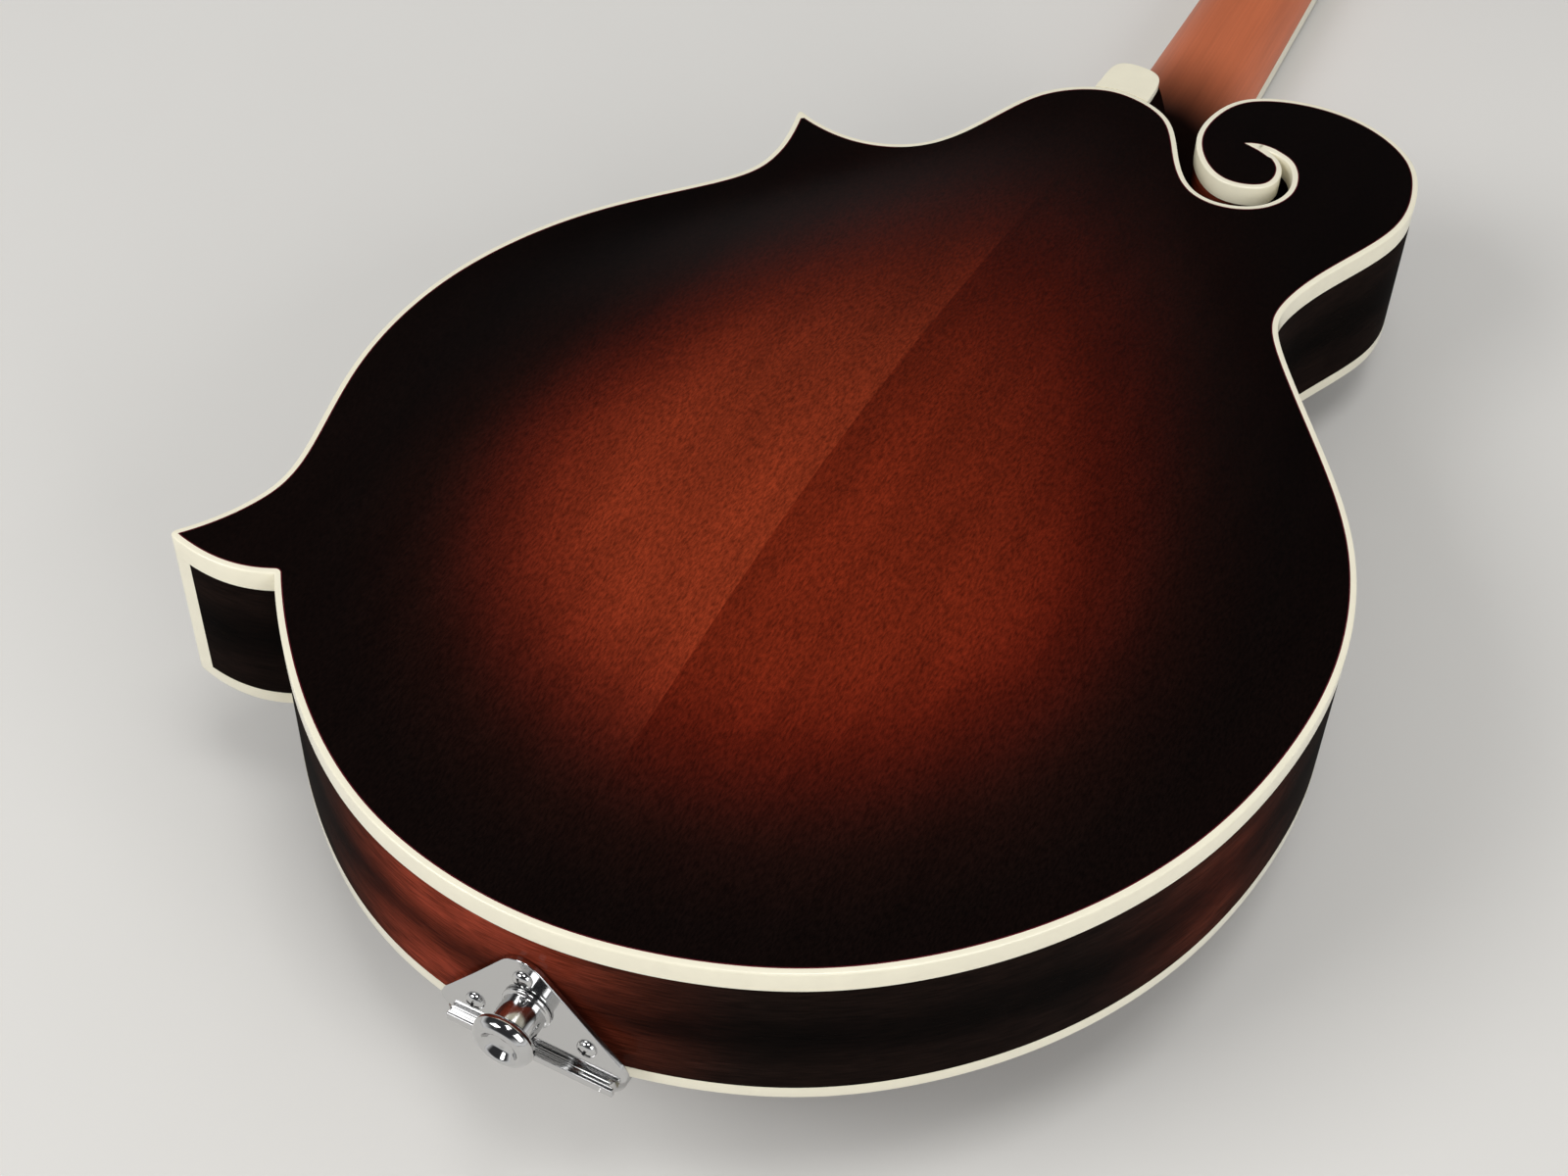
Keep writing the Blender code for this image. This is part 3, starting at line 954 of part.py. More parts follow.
def build_strings():
    """Eight strings in four courses, from tailpiece hooks over saddle and nut to their posts."""
    order = (("bass", 0), ("bass", 1), ("bass", 2), ("bass", 3), ("treble", 3), ("treble", 2), ("treble", 1),
             ("treble", 0))
    names = ("g1", "g2", "d1", "d2", "a1", "a2", "e1", "e2")
    for i, (side, k) in enumerate(order):
        r = STRING_DIAMETERS[i] / 2
        hook = BODY @ Vector((TAIL_SPREAD * STRING_AT_BRIDGE[i], HOOK_Y + 2.0 + r, HOOK_Z + 0.6))
        at_bridge = Vector((STRING_AT_BRIDGE[i], -SCALE_LENGTH, r))
        at_nut = Vector((STRING_AT_NUT[i], 1.0, r))
        over_nut = Vector((STRING_AT_NUT[i], NUT_LENGTH + 0.1, r))
        sign = -1 if side == "bass" else 1
        px, py = sign * POST_ROW_X, POST_FIRST_Y + POST_PITCH * k
        winding = 2.2 + 0.2 + r
        coil_z = -SEAM - VENEER - POST_OUT + 6.6
        coil = []
        for step in range(13):
            angle = (math.pi if sign > 0 else 0.0) - sign * 2 * math.pi * step / 8
            drop = step / 8 * (2 * r + COIL_GAP)
            coil.append(HEAD @ Vector((px + winding * math.cos(angle), py + winding * math.sin(angle),
                                       coil_z - drop)))
        path = [hook, at_bridge + Vector((0, -0.5 * SADDLE_LENGTH - 0.1, 0.0)), at_bridge, at_nut, over_nut] + coil
        emit("string_" + names[i], tube(path, r, 5), "bronze_string" if i < 4 else "steel", NECK)


def settle():
    """Moves everything so that the strings touch the floor and the scene's origin is under the middle."""
    bpy.context.view_layer.update()
    graph = bpy.context.evaluated_depsgraph_get()
    low, high = Vector((1e9,) * 3), Vector((-1e9,) * 3)
    for obj in bpy.context.scene.objects:
        if obj.hide_render:
            continue
        shape = obj.evaluated_get(graph)
        for vertex in shape.data.vertices:
            place = obj.matrix_world @ vertex.co
            low = Vector(map(min, low, place))
            high = Vector(map(max, high, place))
    shift = Matrix.Translation((-(low.x + high.x) / 2, -(low.y + high.y) / 2, -low.z))
    for obj in bpy.context.scene.objects:
        obj.matrix_world = shift @ obj.matrix_world


def main():
    for obj in list(bpy.data.objects):
        bpy.data.objects.remove(obj, do_unlink=True)
    outline = body_outline()
    build_plates(outline)
    build_rim(outline)
    build_neck(outline)
    build_board()
    build_machines()
    build_bridge()
    build_tail()
    build_strings()
    settle()


main()
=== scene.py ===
"""The looks of an f-style mandolin that lies face down on its strings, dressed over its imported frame.

Three drawing frames are used, all in millimetres, as in the construction:
  body  - from the middle of the tail on the back's rim; x to the scroll side, y to the neck, z out of the back
  neck  - from the front of the nut on the plane under the strings; y to the headstock, z away from the strings
  head  - from the foot of the headstock on its face; y to the tip, z out of the headstock's rear
"""
import logging
import math
from dataclasses import dataclass
from enum import Enum
from typing import Callable, Sequence

import bmesh
import bpy
import numpy as np
from mathutils import Matrix, Vector


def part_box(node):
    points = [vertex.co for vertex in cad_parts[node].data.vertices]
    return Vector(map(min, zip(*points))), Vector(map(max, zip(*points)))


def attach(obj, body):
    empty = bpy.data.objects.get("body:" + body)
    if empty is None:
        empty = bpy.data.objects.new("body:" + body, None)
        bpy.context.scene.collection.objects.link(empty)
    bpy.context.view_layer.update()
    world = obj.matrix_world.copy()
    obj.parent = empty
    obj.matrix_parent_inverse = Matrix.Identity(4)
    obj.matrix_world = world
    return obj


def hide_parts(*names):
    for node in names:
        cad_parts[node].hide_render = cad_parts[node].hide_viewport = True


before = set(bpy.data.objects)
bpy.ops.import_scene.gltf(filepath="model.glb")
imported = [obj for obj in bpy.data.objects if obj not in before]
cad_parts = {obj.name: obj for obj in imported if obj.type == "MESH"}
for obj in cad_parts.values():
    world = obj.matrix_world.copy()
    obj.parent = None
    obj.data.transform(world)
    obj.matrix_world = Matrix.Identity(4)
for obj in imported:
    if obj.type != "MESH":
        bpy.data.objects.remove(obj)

LOG = logging.getLogger("mandolin")
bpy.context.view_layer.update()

MM = 0.001
MERGE = 1e-4              # points nearer than this, in millimetres, become one
Height = float | Callable[[float, float], float]     # a level, or one that follows x and y
Loop = list[Vector]
Pair = tuple[float, float]
Pairs = tuple[Pair, ...]
Triple = tuple[float, float, float]
Points = Sequence[Sequence[float]]
Mesh = bmesh.types.BMesh
Tree = bpy.types.NodeTree
Node = bpy.types.Node
Socket = bpy.types.NodeSocket
Source = Socket | Node | Sequence[float] | float
Inputs = dict[str | int, Source] | Sequence[Source]

# Driving dimensions that the sub-assemblies share
RIM_DEPTH = 46.5
BACK_EDGE = 4.2
TOP_EDGE = 3.9
PLATE_THINNING = 0.7
BACK_ARCH = 13.0
TOP_ARCH = 15.0
ARCH_CENTRE_Y = 146.0
ARCH_HALF_WIDTH = 121.0
ARCH_LONG = 168.0
ARCH_MARGIN = 6.0         # how far from the tail the arch ends
ARCH_NARROWING = 62.0
ARCH_POWER = 1.7
BINDING_WIDTH = 1.55
SCALE_LENGTH = 352.0
HEEL_TIP_Y = 340.1
BRIDGE_Y = HEEL_TIP_Y - 0.46335 * SCALE_LENGTH
STRING_HEIGHT = 32.0
NECK_ANGLE = math.radians(5.0)
HEAD_ANGLE = math.radians(14.0)
NUT_WIDTH = 28.8
JOINT_WIDTH = 38.4
FRETS = 22
BOARD_FACE = 2.3
BOARD_BACK = 7.8
NECK_FACE = 8.0
NUT_LENGTH = 5.0
NUT_END = 5.2
HEAD_THICKNESS = 13.0
VENEER = 1.6
SEAM = 0.2                # the gap that stands for a glue seam in the construction
HAIRLINE = 0.04           # what glued seams show of themselves
TOP_Z = -RIM_DEPTH
STRING_Z = TOP_Z - STRING_HEIGHT
JOINT_Y = -SCALE_LENGTH * (1.0 - 2.0 ** (-15 / 12.0))
BOARD_END = -SCALE_LENGTH * (1.0 - 2.0 ** (-(FRETS + 0.45) / 12.0))
STRING_DIAMETERS = (0.97, 0.97, 0.61, 0.61, 0.38, 0.38, 0.28, 0.28)
STRING_AT_NUT = (-11.6, -9.2, -4.7, -2.4, 2.4, 4.7, 9.2, 11.6)
STRING_AT_BRIDGE = (-18.3, -15.4, -7.6, -4.8, 4.8, 7.6, 15.4, 18.3)
POST_ROW_X = 19.0
POST_ROWS = tuple(34.0 + 23.0 * k for k in range(4))
POST_OUT = 11.0
POST_WAIST = 2.2
SIDES = {"bass": -1.0, "treble": 1.0}

# Body outline seen from the back, as control points of four smooth curves joined at corners
RIGHT_SIDE = (
    (-99.8, 55.3), (-94.7, 48.4), (-80.5, 32.2), (-56.7, 13.4), (-32.1, 2.8), (-3.4, -1.3), (24.2, 1.9),
    (53.7, 11.9), (76.8, 27.1), (98.3, 48.8), (114.3, 74.6), (123.9, 101.9), (128.3, 134.1), (125.9, 161.1),
    (116.7, 188.5), (98.1, 215.0), (75.3, 245.6), (71.8, 256.5), (77.3, 277.0), (91.4, 304.4), (89.0, 323.8),
    (83.5, 337.5), (67.5, 347.7), (48.9, 349.1), (32.3, 343.1), (26.2, 332.9), (24.4, 317.1), (32.3, 304.4),
    (40.8, 300.1), (50.0, 302.9), (53.3, 307.7), (52.8, 315.7), (48.8, 319.5), (46.2, 320.8),
)
SHOULDERS = (
    (46.2, 320.8), (49.9, 320.1), (54.3, 318.2), (58.3, 306.6), (53.6, 296.4), (43.6, 291.3), (32.5, 293.1),
    (24.4, 306.2), (17.5, 322.4), (3.3, 327.5), (-7.6, 326.8), (-21.8, 316.5), (-28.2, 299.4), (-35.9, 279.4),
    (-47.3, 271.1), (-61.4, 268.3), (-73.2, 271.8), (-77.2, 274.2),
)
LEFT_SIDE = (
    (-77.2, 274.2), (-74.0, 261.7), (-73.6, 250.4), (-76.8, 238.6), (-104.2, 210.5), (-119.8, 181.7),
    (-126.9, 153.8), (-126.4, 122.2), (-115.4, 87.6), (-117.4, 73.4), (-124.0, 60.8), (-129.6, 54.2),
)
POINT_FACE = ((-129.6, 54.2), (-117.5, 50.4), (-108.2, 50.9), (-99.8, 55.3))
SCROLL_HORN = (
    (46.6, 318.2), (45.1, 318.95), (43.3, 319.7), (41.1, 320.3), (38.9, 320.9), (40.5, 321.8),
    (42.3, 322.4), (44.0, 322.65), (45.8, 322.6), (47.6, 322.3),
)
HEEL_CAP = (
    (-8.1, 318.0), (-8.1, 325.0), (-8.1, 331.5), (-7.9, 336.4), (-6.6, 339.6), (-3.6, 340.9), (0.0, 341.0),
    (3.4, 340.6), (6.2, 339.0), (7.4, 336.0), (7.7, 331.5), (7.8, 325.0), (7.8, 318.0),
)
HEAD_OUTLINE = (
    (14.6, -0.8), (15.6, 5.0), (22.0, 10.0), (30.5, 15.0), (31.4, 26.0), (29.8, 48.0), (30.0, 76.0),
    (30.8, 103.0), (31.0, 116.0), (33.5, 124.0), (43.5, 129.5), (49.0, 138.0), (42.0, 147.0), (32.0, 139.0),
    (22.0, 129.0), (11.0, 130.0), (1.0, 145.0), (-8.0, 164.0), (-26.0, 174.5), (-42.5, 165.0),
    (-44.0, 148.0), (-35.5, 139.0), (-32.0, 124.0), (-31.0, 104.0), (-30.0, 76.0), (-29.8, 48.0),
    (-31.4, 26.0), (-30.5, 15.0), (-22.0, 10.0), (-15.6, 5.0), (-14.6, -0.8),
)
SOUND_HOLE = (
    (46.0, 210.5), (51.5, 209.8), (55.5, 206.0), (57.8, 199.0), (59.6, 189.0), (61.6, 177.0), (63.4, 165.0),
    (64.8, 154.0), (65.6, 146.0), (67.4, 139.8), (68.9, 141.2), (68.7, 145.2), (70.8, 148.6), (74.6, 148.8),
    (77.3, 146.0), (77.5, 141.3), (74.8, 137.0), (70.0, 134.3), (65.0, 134.6), (61.4, 138.4), (59.9, 145.0),
    (58.9, 154.0), (57.5, 165.0), (55.8, 177.0), (54.3, 188.0), (53.4, 197.0), (52.0, 204.4), (49.8, 204.2),
    (49.6, 200.2), (46.6, 197.8), (42.8, 199.2), (41.0, 203.2), (42.3, 208.2),
)


def drawing_frames() -> tuple[Matrix, Matrix, Matrix]:
    """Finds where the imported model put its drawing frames.

    Returns:
        The body, neck and head frames, from millimetres to the scene's metres.
    """
    board_low, board_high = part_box("fingerboard")
    _, nut_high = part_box("nut")
    shift = Vector((0.5 * (board_low.x + board_high.x), nut_high.y - NUT_LENGTH * MM, 0.0))
    neck = Matrix.Translation(shift) @ Matrix.Scale(MM, 4)
    body = (neck @ Matrix.Translation((0.0, -SCALE_LENGTH, 0.0)) @ Matrix.Rotation(-NECK_ANGLE, 4, "X")
            @ Matrix.Translation((0.0, -BRIDGE_Y, -STRING_Z)))
    head = neck @ Matrix.Translation((0.0, NUT_END, NECK_FACE)) @ Matrix.Rotation(HEAD_ANGLE, 4, "X")
    return body, neck, head


BODY, NECK, HEAD = drawing_frames()
BODY_TO_NECK = NECK.inverted() @ BODY
HEAD_TO_NECK = NECK.inverted() @ HEAD
NECK_TO_BODY = BODY.inverted() @ NECK


def plane_frame(base: Matrix, origin: Sequence[float], x_axis: Sequence[float] = (1, 0, 0),
                y_axis: Sequence[float] = (0, 0, 1)) -> Matrix:
    """A frame inside another one.

    Args:
        base: The frame that its origin and axes are given in.
        origin: Its origin.
        x_axis: Its first axis.
        y_axis: Its second axis, which points along the base's z unless given.

    Returns:
        The frame, whose third axis is square to the two.
    """
    x, y = Vector(x_axis), Vector(y_axis)
    turn = Matrix((x, y, x.cross(y))).transposed().to_4x4()
    return base @ Matrix.Translation(Vector(origin)) @ turn


def bspline(control: Points, per_span: int = 24) -> Loop:
    """Points on the cubic curve drawn by control points.

    Args:
        control: The control points; the curve begins and ends on the outer ones.
        per_span: Points for each span of the curve.

    Returns:
        The points in order.
    """
    last = len(control) - 3
    knots = [0] * 3 + list(range(last + 1)) + [last] * 3
    points = []
    for step in range(last * per_span + 1):
        t = step / per_span
        k = min(int(t), last - 1) + 3
        near = [Vector(control[k - 3 + j]) for j in range(4)]
        for r in range(1, 4):
            for j in range(3, r - 1, -1):
                low = knots[j + k - 3]
                near[j] = near[j - 1].lerp(near[j], (t - low) / (knots[j + 1 + k - r] - low))
        points.append(near[3])
    return points


def round_curve(points: Points, per_span: int = 8) -> Loop:
    """A smooth closed curve through points.

    Args:
        points: The points, in order round the curve.
        per_span: Points for each span between two of them.

    Returns:
        The curve as a loop.
    """
    places = [Vector(p) for p in points]
    curve = []
    for i, here in enumerate(places):
        ahead, after, before = places[(i + 1) % len(places)], places[(i + 2) % len(places)], places[i - 1]
        for step in range(per_span):
            t = step / per_span
            curve.append(0.5 * (2.0 * here + (ahead - before) * t + (2.0 * before - 5.0 * here + 4.0 * ahead - after)
                                * t * t + (3.0 * here - before - 3.0 * ahead + after) * t ** 3))
    return curve


def thin(points: Loop, sag: float, longest: float) -> Loop:
    """Leaves out points that a run can do without.

    Args:
        points: The run of points.
        sag: How far a chord may stray from the points that it spans.
        longest: The longest chord.

    Returns:
        The points that stay, with both ends.
    """
    kept = [points[0]]
    start = 0
    for end in range(2, len(points)):
        chord = points[end] - points[start]
        length = max(chord.length, 1e-6)
        worst = max(abs(chord.cross(p - points[start])) / length for p in points[start + 1:end])
        if worst > sag or length > longest:
            start = end - 1
            kept.append(points[start])
    return kept + [points[-1]]


def corner_curve(before: Vector, corner: Vector, after: Vector, steps: int) -> Loop:
    """The small curve that cuts a corner round, in so many steps."""
    return [before.lerp(corner, t / steps).lerp(corner.lerp(after, t / steps), t / steps) for t in range(steps + 1)]


def rounded(before: Loop, after: Loop, reach: float) -> tuple[Loop, Loop, Loop]:
    """Rounds the corner where one run of points ends and the next begins.

    Args:
        before: The run that ends in the corner.
        after: The run that starts there.
        reach: How much of each gives way to the curve.

    Returns:
        What is left of the first run, the curve, and what is left of the second run.
    """
    corner = before[-1]
    back = [p for p in before if (p - corner).length > reach]
    front = [p for p in after if (p - corner).length > reach]
    a = corner + (back[-1] - corner).normalized() * reach
    b = corner + (front[0] - corner).normalized() * reach
    return back, corner_curve(a, corner, b, 10), front


def body_outline() -> Loop:
    """The body's outer edge in plan.

    Returns:
        The edge, counterclockwise from the lower point's inner corner, with both points rounded.
    """
    sag, longest, rounding = 0.008, 2.4, 3.0
    right, over, left, face = (thin(bspline(c), sag, longest) for c in (RIGHT_SIDE, SHOULDERS, LEFT_SIDE, POINT_FACE))
    over, upper, left = rounded(over, left, rounding)
    left, lower, face = rounded(left, face, rounding)
    return right + over[1:] + upper + left + lower + face[:-1]


BODY_OUTLINE = body_outline()


def clearance(loop: Loop, points: np.ndarray) -> tuple[np.ndarray, np.ndarray]:
    """How points lie to a loop.

    Args:
        loop: The loop's corners.
        points: The points, one in each row.

    Returns:
        Whether each point is inside the loop, and its distance to the loop's nearest edge.
    """
    ends = np.array([(p[0], p[1]) for p in loop])
    starts = np.roll(ends, 1, axis=0)
    edge = ends - starts
    size = np.maximum((edge ** 2).sum(1), 1e-12)
    away = points[:, None, :] - starts[None, :, :]
    share = np.clip((away * edge).sum(2) / size, 0.0, 1.0)
    distance = np.sqrt((((away - share[:, :, None] * edge) ** 2).sum(2)).min(1))
    x, y = points[:, 0][:, None], points[:, 1][:, None]
    rise = np.where(edge[:, 1] == 0.0, 1e-12, edge[:, 1])
    crossed = ((starts[:, 1] > y) != (ends[:, 1] > y)) & (x < edge[:, 0] * (y - starts[:, 1]) / rise + starts[:, 0])
    return crossed.sum(1) % 2 == 1, distance


def inset(loop: Loop, depth: float) -> Loop:
    """The loop moved inward by depth, or outward if depth is negative.

    Args:
        loop: The loop's corners, counterclockwise.
        depth: How far each point moves.

    Returns:
        The moved loop, without the points that would cross over.
    """
    raw = []
    for i, here in enumerate(loop):
        a = (here - loop[i - 1]).normalized()
        b = (loop[(i + 1) % len(loop)] - here).normalized()
        left_a, left_b = Vector((-a.y, a.x)), Vector((-b.y, b.x))
        turn = math.atan2(a.cross(b), a.dot(b))
        if abs(turn) > 0.6 and turn * depth < 0:
            swings = [turn * step / 12.0 for step in range(13)]
            raw += [here + Matrix.Rotation(s, 2) @ left_a * depth for s in swings]
        else:
            raw.append(here + (left_a + left_b) * (depth / max(0.25, 1.0 + left_a.dot(left_b))))
    within, distance = clearance(loop, np.array(raw))
    good = (distance > abs(depth) * 0.985) & (within == (depth > 0))
    start = int(np.argmax(good & ~np.roll(good, 1))) if not good.all() else 0
    ring, broken = [], False
    for step in range(len(raw)):
        k = (start + step) % len(raw)
        if not good[k]:
            broken = True
            continue
        if broken and len(ring) > 1 and good[(k + 1) % len(raw)]:
            meet = crossing(ring[-2], ring[-1], raw[(k + 1) % len(raw)], raw[k])
            if meet is not None and (meet - ring[-1]).length < 3.0 * abs(depth):
                ring.append(meet)
        broken = False
        if not ring or (raw[k] - ring[-1]).length > 0.05:
            ring.append(raw[k])
    return ring


def crossing(a: Vector, b: Vector, c: Vector, d: Vector) -> Vector | None:
    """Where two edges meet when they are drawn on.

    Args:
        a: The first edge's start.
        b: Its end, past which it is drawn on.
        c: The second edge's start.
        d: Its end, past which it is drawn on.

    Returns:
        The point, or None where they don't meet past their ends.
    """
    along, other = b - a, d - c
    bend = along.cross(other)
    if abs(bend) < 1e-9:
        return None
    t = (c - a).cross(other) / bend
    s = (c - a).cross(along) / bend
    return a + along * t if t > 0.99 and s > 0.99 else None


def horned(loop: Loop, depth: float) -> Loop:
    """Draws the end of the binding's inner edge at the scroll's slot out to a long point.

    Args:
        loop: The edge.
        depth: Its depth from the outline.

    Returns:
        The edge with its point.
    """
    tip, reach = Vector(RIGHT_SIDE[-1]), 2.9
    away = [(p - tip).length > reach for p in loop]
    start = next(i for i in range(len(loop)) if away[i] and not away[i - 1])
    run = [p for p in loop[start:] + loop[:start] if (p - tip).length > reach]
    horn = [Vector(p) for p in SCROLL_HORN]
    for before, here, after in zip([run[-1], *horn], horn, [*horn[1:], run[0]]):
        way = (after - before).normalized()
        run.append(here + Vector((-way.y, way.x)) * (depth - BINDING_WIDTH))
    return run


def circle(radius: float, count: int, centre: Sequence[float] = (0.0, 0.0)) -> Loop:
    """A round loop of count points."""
    return [Vector((centre[0] + radius * math.cos(2 * math.pi * k / count),
                    centre[1] + radius * math.sin(2 * math.pi * k / count))) for k in range(count)]


def box_loop(x0: float, x1: float, y0: float, y1: float) -> Loop:
    """A rectangle as a counterclockwise loop."""
    return [Vector((x0, y0)), Vector((x1, y0)), Vector((x1, y1)), Vector((x0, y1))]


def cut_round(before: Vector, here: Vector, after: Vector, radius: float, steps: int) -> Loop:
    """Cuts one corner of a line round.

    Args:
        before: The corner before it.
        here: The corner.
        after: The corner after it.
        radius: How far the cut reaches at most.
        steps: The steps of its curve.

    Returns:
        The curve that takes the corner's place, which stays within 45% of each side.
    """
    to_back, to_front = before - here, after - here
    reach = min(radius, 0.45 * to_back.length, 0.45 * to_front.length)
    return corner_curve(here + to_back.normalized() * reach, here, here + to_front.normalized() * reach, steps)


def softened(corners: Points, radius: float) -> Loop:
    """Cuts the corners of a loop round.

    Args:
        corners: The loop.
        radius: How far each cut reaches at most.

    Returns:
        The rounded loop.
    """
    places = [Vector(c) for c in corners]
    return [p for i, here in enumerate(places)
            for p in cut_round(places[i - 1], here, places[(i + 1) % len(places)], radius, 6)]


def filleted(profile: Sequence[Pair], radius: float, steps: int = 4) -> list[Pair]:
    """Rounds a turned profile.

    Args:
        profile: Its (radius, height) pairs.
        radius: How far its corners are cut round.
        steps: The steps of each curve.

    Returns:
        The new pairs; the ends stay.
    """
    places = [Vector(p) for p in profile]
    line = [places[0]]
    for before, here, after in zip(places, places[1:], places[2:]):
        line += cut_round(before, here, after, radius, steps)
    return [(p.x, p.y) for p in line + [places[-1]]]


def closed(bm: Mesh, points: Points) -> list[bmesh.types.BMEdge]:
    """Adds a closed run of edges through the points."""
    verts = [bm.verts.new((*p, 0.0)[:3]) for p in points]
    return [bm.edges.new((verts[i - 1], verts[i])) for i in range(len(verts))]


def fill_grid(bm: Mesh, loops: Sequence[Loop], pitch: float) -> None:
    """Adds an even grid of faces to a bmesh, clear of the loops.

    Args:
        bm: The bmesh to add to.
        loops: The outer loop first, then any holes.
        pitch: The grid's spacing.
    """
    flat = np.array([(p[0], p[1]) for p in loops[0]])
    low, high = flat.min(0), flat.max(0)
    counts = [max(2, int(round(d / pitch))) for d in high - low]
    place = Matrix.Translation((*(0.5 * (low + high)), 0.0)) @ Matrix.Diagonal(
        (0.5 * (high[0] - low[0]), 0.5 * (high[1] - low[1]), 1.0, 1.0))
    grid = bmesh.ops.create_grid(bm, x_segments=counts[0], y_segments=counts[1], size=1.0, matrix=place)["verts"]
    points = np.array([(v.co.x, v.co.y) for v in grid])
    kept = np.ones(len(points), bool)
    for loop in loops:
        within, distance = clearance(loop, points)
        kept &= (within == (loop is loops[0])) & (distance > 0.75 * pitch)
    stray = [v for v, keep in zip(grid, kept) if not keep]
    while stray:
        bmesh.ops.delete(bm, geom=stray, context="VERTS")
        stray = [v for v in bm.verts if v.link_faces and sum(e.is_boundary for e in v.link_edges) > 2]
    bmesh.ops.delete(bm, geom=[e for e in bm.edges if not e.link_faces], context="EDGES")
    bmesh.ops.delete(bm, geom=[v for v in bm.verts if not v.link_edges], context="VERTS")


def slab(loops: Sequence[Loop], low: Height, high: Height, pitch: float = 0.0) -> Mesh:
    """A closed piece over the region inside the first loop and outside the others.

    Args:
        loops: The outer loop, then any holes.
        low: The height of its lower face.
        high: The height of its upper face.
        pitch: Spacing of the grid that lets its faces curve, or 0 for flat faces.

    Returns:
        The bmesh, in the units of the loops.
    """
    bm = bmesh.new()
    if pitch:
        fill_grid(bm, loops, pitch)
    edges = [e for e in bm.edges if e.is_boundary]
    for loop in loops:
        edges += closed(bm, loop)
    bmesh.ops.triangle_fill(bm, use_beauty=True, use_dissolve=False, edges=edges, normal=(0.0, 0.0, 1.0))
    made = bmesh.ops.extrude_face_region(bm, geom=bm.faces[:])
    lifted = {v for v in made["geom"] if isinstance(v, bmesh.types.BMVert)}
    for vertex in bm.verts:
        height = high if vertex in lifted else low
        vertex.co.z = height(vertex.co.x, vertex.co.y) if callable(height) else height
    bmesh.ops.recalc_face_normals(bm, faces=bm.faces)
    return bm


def soften(bm: Mesh, width: float, segments: int = 3, where: Callable[[Vector], bool] = lambda middle: True,
           sharper: float = 50.0) -> Mesh:
    """Rounds the sharp edges of a piece.

    Args:
        bm: The piece.
        width: Width of the rounding.
        segments: Faces across it.
        where: Says from an edge's middle whether it is rounded.
        sharper: The least angle, in degrees, of an edge that is rounded.

    Returns:
        The same bmesh.
    """
    edges = [e for e in bm.edges if len(e.link_faces) == 2 and e.calc_face_angle(0.0) > math.radians(sharper)
             and where(0.5 * (e.verts[0].co + e.verts[1].co))]
    bmesh.ops.bevel(bm, geom=edges, offset=width, offset_type="OFFSET", segments=segments, profile=0.5,
                    affect="EDGES", clamp_overlap=False, material=-1)
    return bm


def turned(profile: Sequence[Pair], steps: int = 40) -> Mesh:
    """A piece turned round z.

    Args:
        profile: Its (radius, height) pairs, which begin and end on the axis.
        steps: The steps of a full turn.

    Returns:
        The closed bmesh.
    """
    bm = bmesh.new()
    verts = [bm.verts.new((r, 0.0, z)) for r, z in profile]
    edges = [bm.edges.new(pair) for pair in zip(verts, verts[1:])]
    bmesh.ops.spin(bm, geom=verts + edges, cent=(0, 0, 0), axis=(0, 0, 1), angle=2 * math.pi, steps=steps,
                   use_merge=True)
    bmesh.ops.remove_doubles(bm, verts=bm.verts, dist=MERGE)
    bmesh.ops.recalc_face_normals(bm, faces=bm.faces)
    return bm


def loft(sections: Sequence[Points]) -> Mesh:
    """A closed piece through sections.

    Args:
        sections: Rings of equally many points.

    Returns:
        The bmesh, with both ends filled.
    """
    bm = bmesh.new()
    rings = [closed(bm, section) for section in sections]
    for low, high in zip(rings, rings[1:]):
        bmesh.ops.bridge_loops(bm, edges=low + high)
    bmesh.ops.holes_fill(bm, edges=[e for e in bm.edges if e.is_boundary], sides=0)
    bmesh.ops.recalc_face_normals(bm, faces=bm.faces)
    return bm


def wire(path: Sequence[Vector], radius: float, sides: int = 3) -> Mesh:
    """A round wire along a path.

    Args:
        path: The points of its middle line.
        radius: Its radius.
        sides: How round it is, as the resolution of a curve's bevel.

    Returns:
        The bmesh, with filled ends.
    """
    curve = bpy.data.curves.new("wire", "CURVE")
    curve.dimensions = "3D"
    curve.bevel_depth = radius
    curve.bevel_resolution = sides
    curve.use_fill_caps = True
    spline = curve.splines.new("POLY")
    spline.points.add(len(path) - 1)
    for point, place in zip(spline.points, path):
        point.co = (*place, 1.0)
    guide = bpy.data.objects.new("wire", curve)
    bm = bmesh.new()
    mesh = bpy.data.meshes.new_from_object(guide)
    bm.from_mesh(mesh)
    bpy.data.objects.remove(guide)
    bpy.data.curves.remove(curve)
    bpy.data.meshes.remove(mesh)
    bmesh.ops.remove_doubles(bm, verts=bm.verts, dist=0.1 * MERGE)
    return bm


def block(x0: float, x1: float, y0: float, y1: float, z0: float, z1: float) -> Mesh:
    """A box for cutting.

    Args:
        x0: Its start along x.
        x1: Its end along x.
        y0: Its start along y.
        y1: Its end along y.
        z0: Its start along z.
        z1: Its end along z.

    Returns:
        The bmesh.
    """
    bm = bmesh.new()
    middle = Matrix.Translation((0.5 * (x0 + x1), 0.5 * (y0 + y1), 0.5 * (z0 + z1)))
    bmesh.ops.create_cube(bm, size=1.0, matrix=middle @ Matrix.Diagonal((x1 - x0, y1 - y0, z1 - z0, 1.0)))
    return bm


def moved(bm: Mesh, place: Matrix | Sequence[float]) -> Mesh:
    """Moves a bmesh.

    Args:
        bm: The bmesh.
        place: The transform, or just a shift.

    Returns:
        The same bmesh.
    """
    matrix = place if isinstance(place, Matrix) else Matrix.Translation(Vector(place))
    bmesh.ops.transform(bm, matrix=matrix, verts=bm.verts)
    return bm


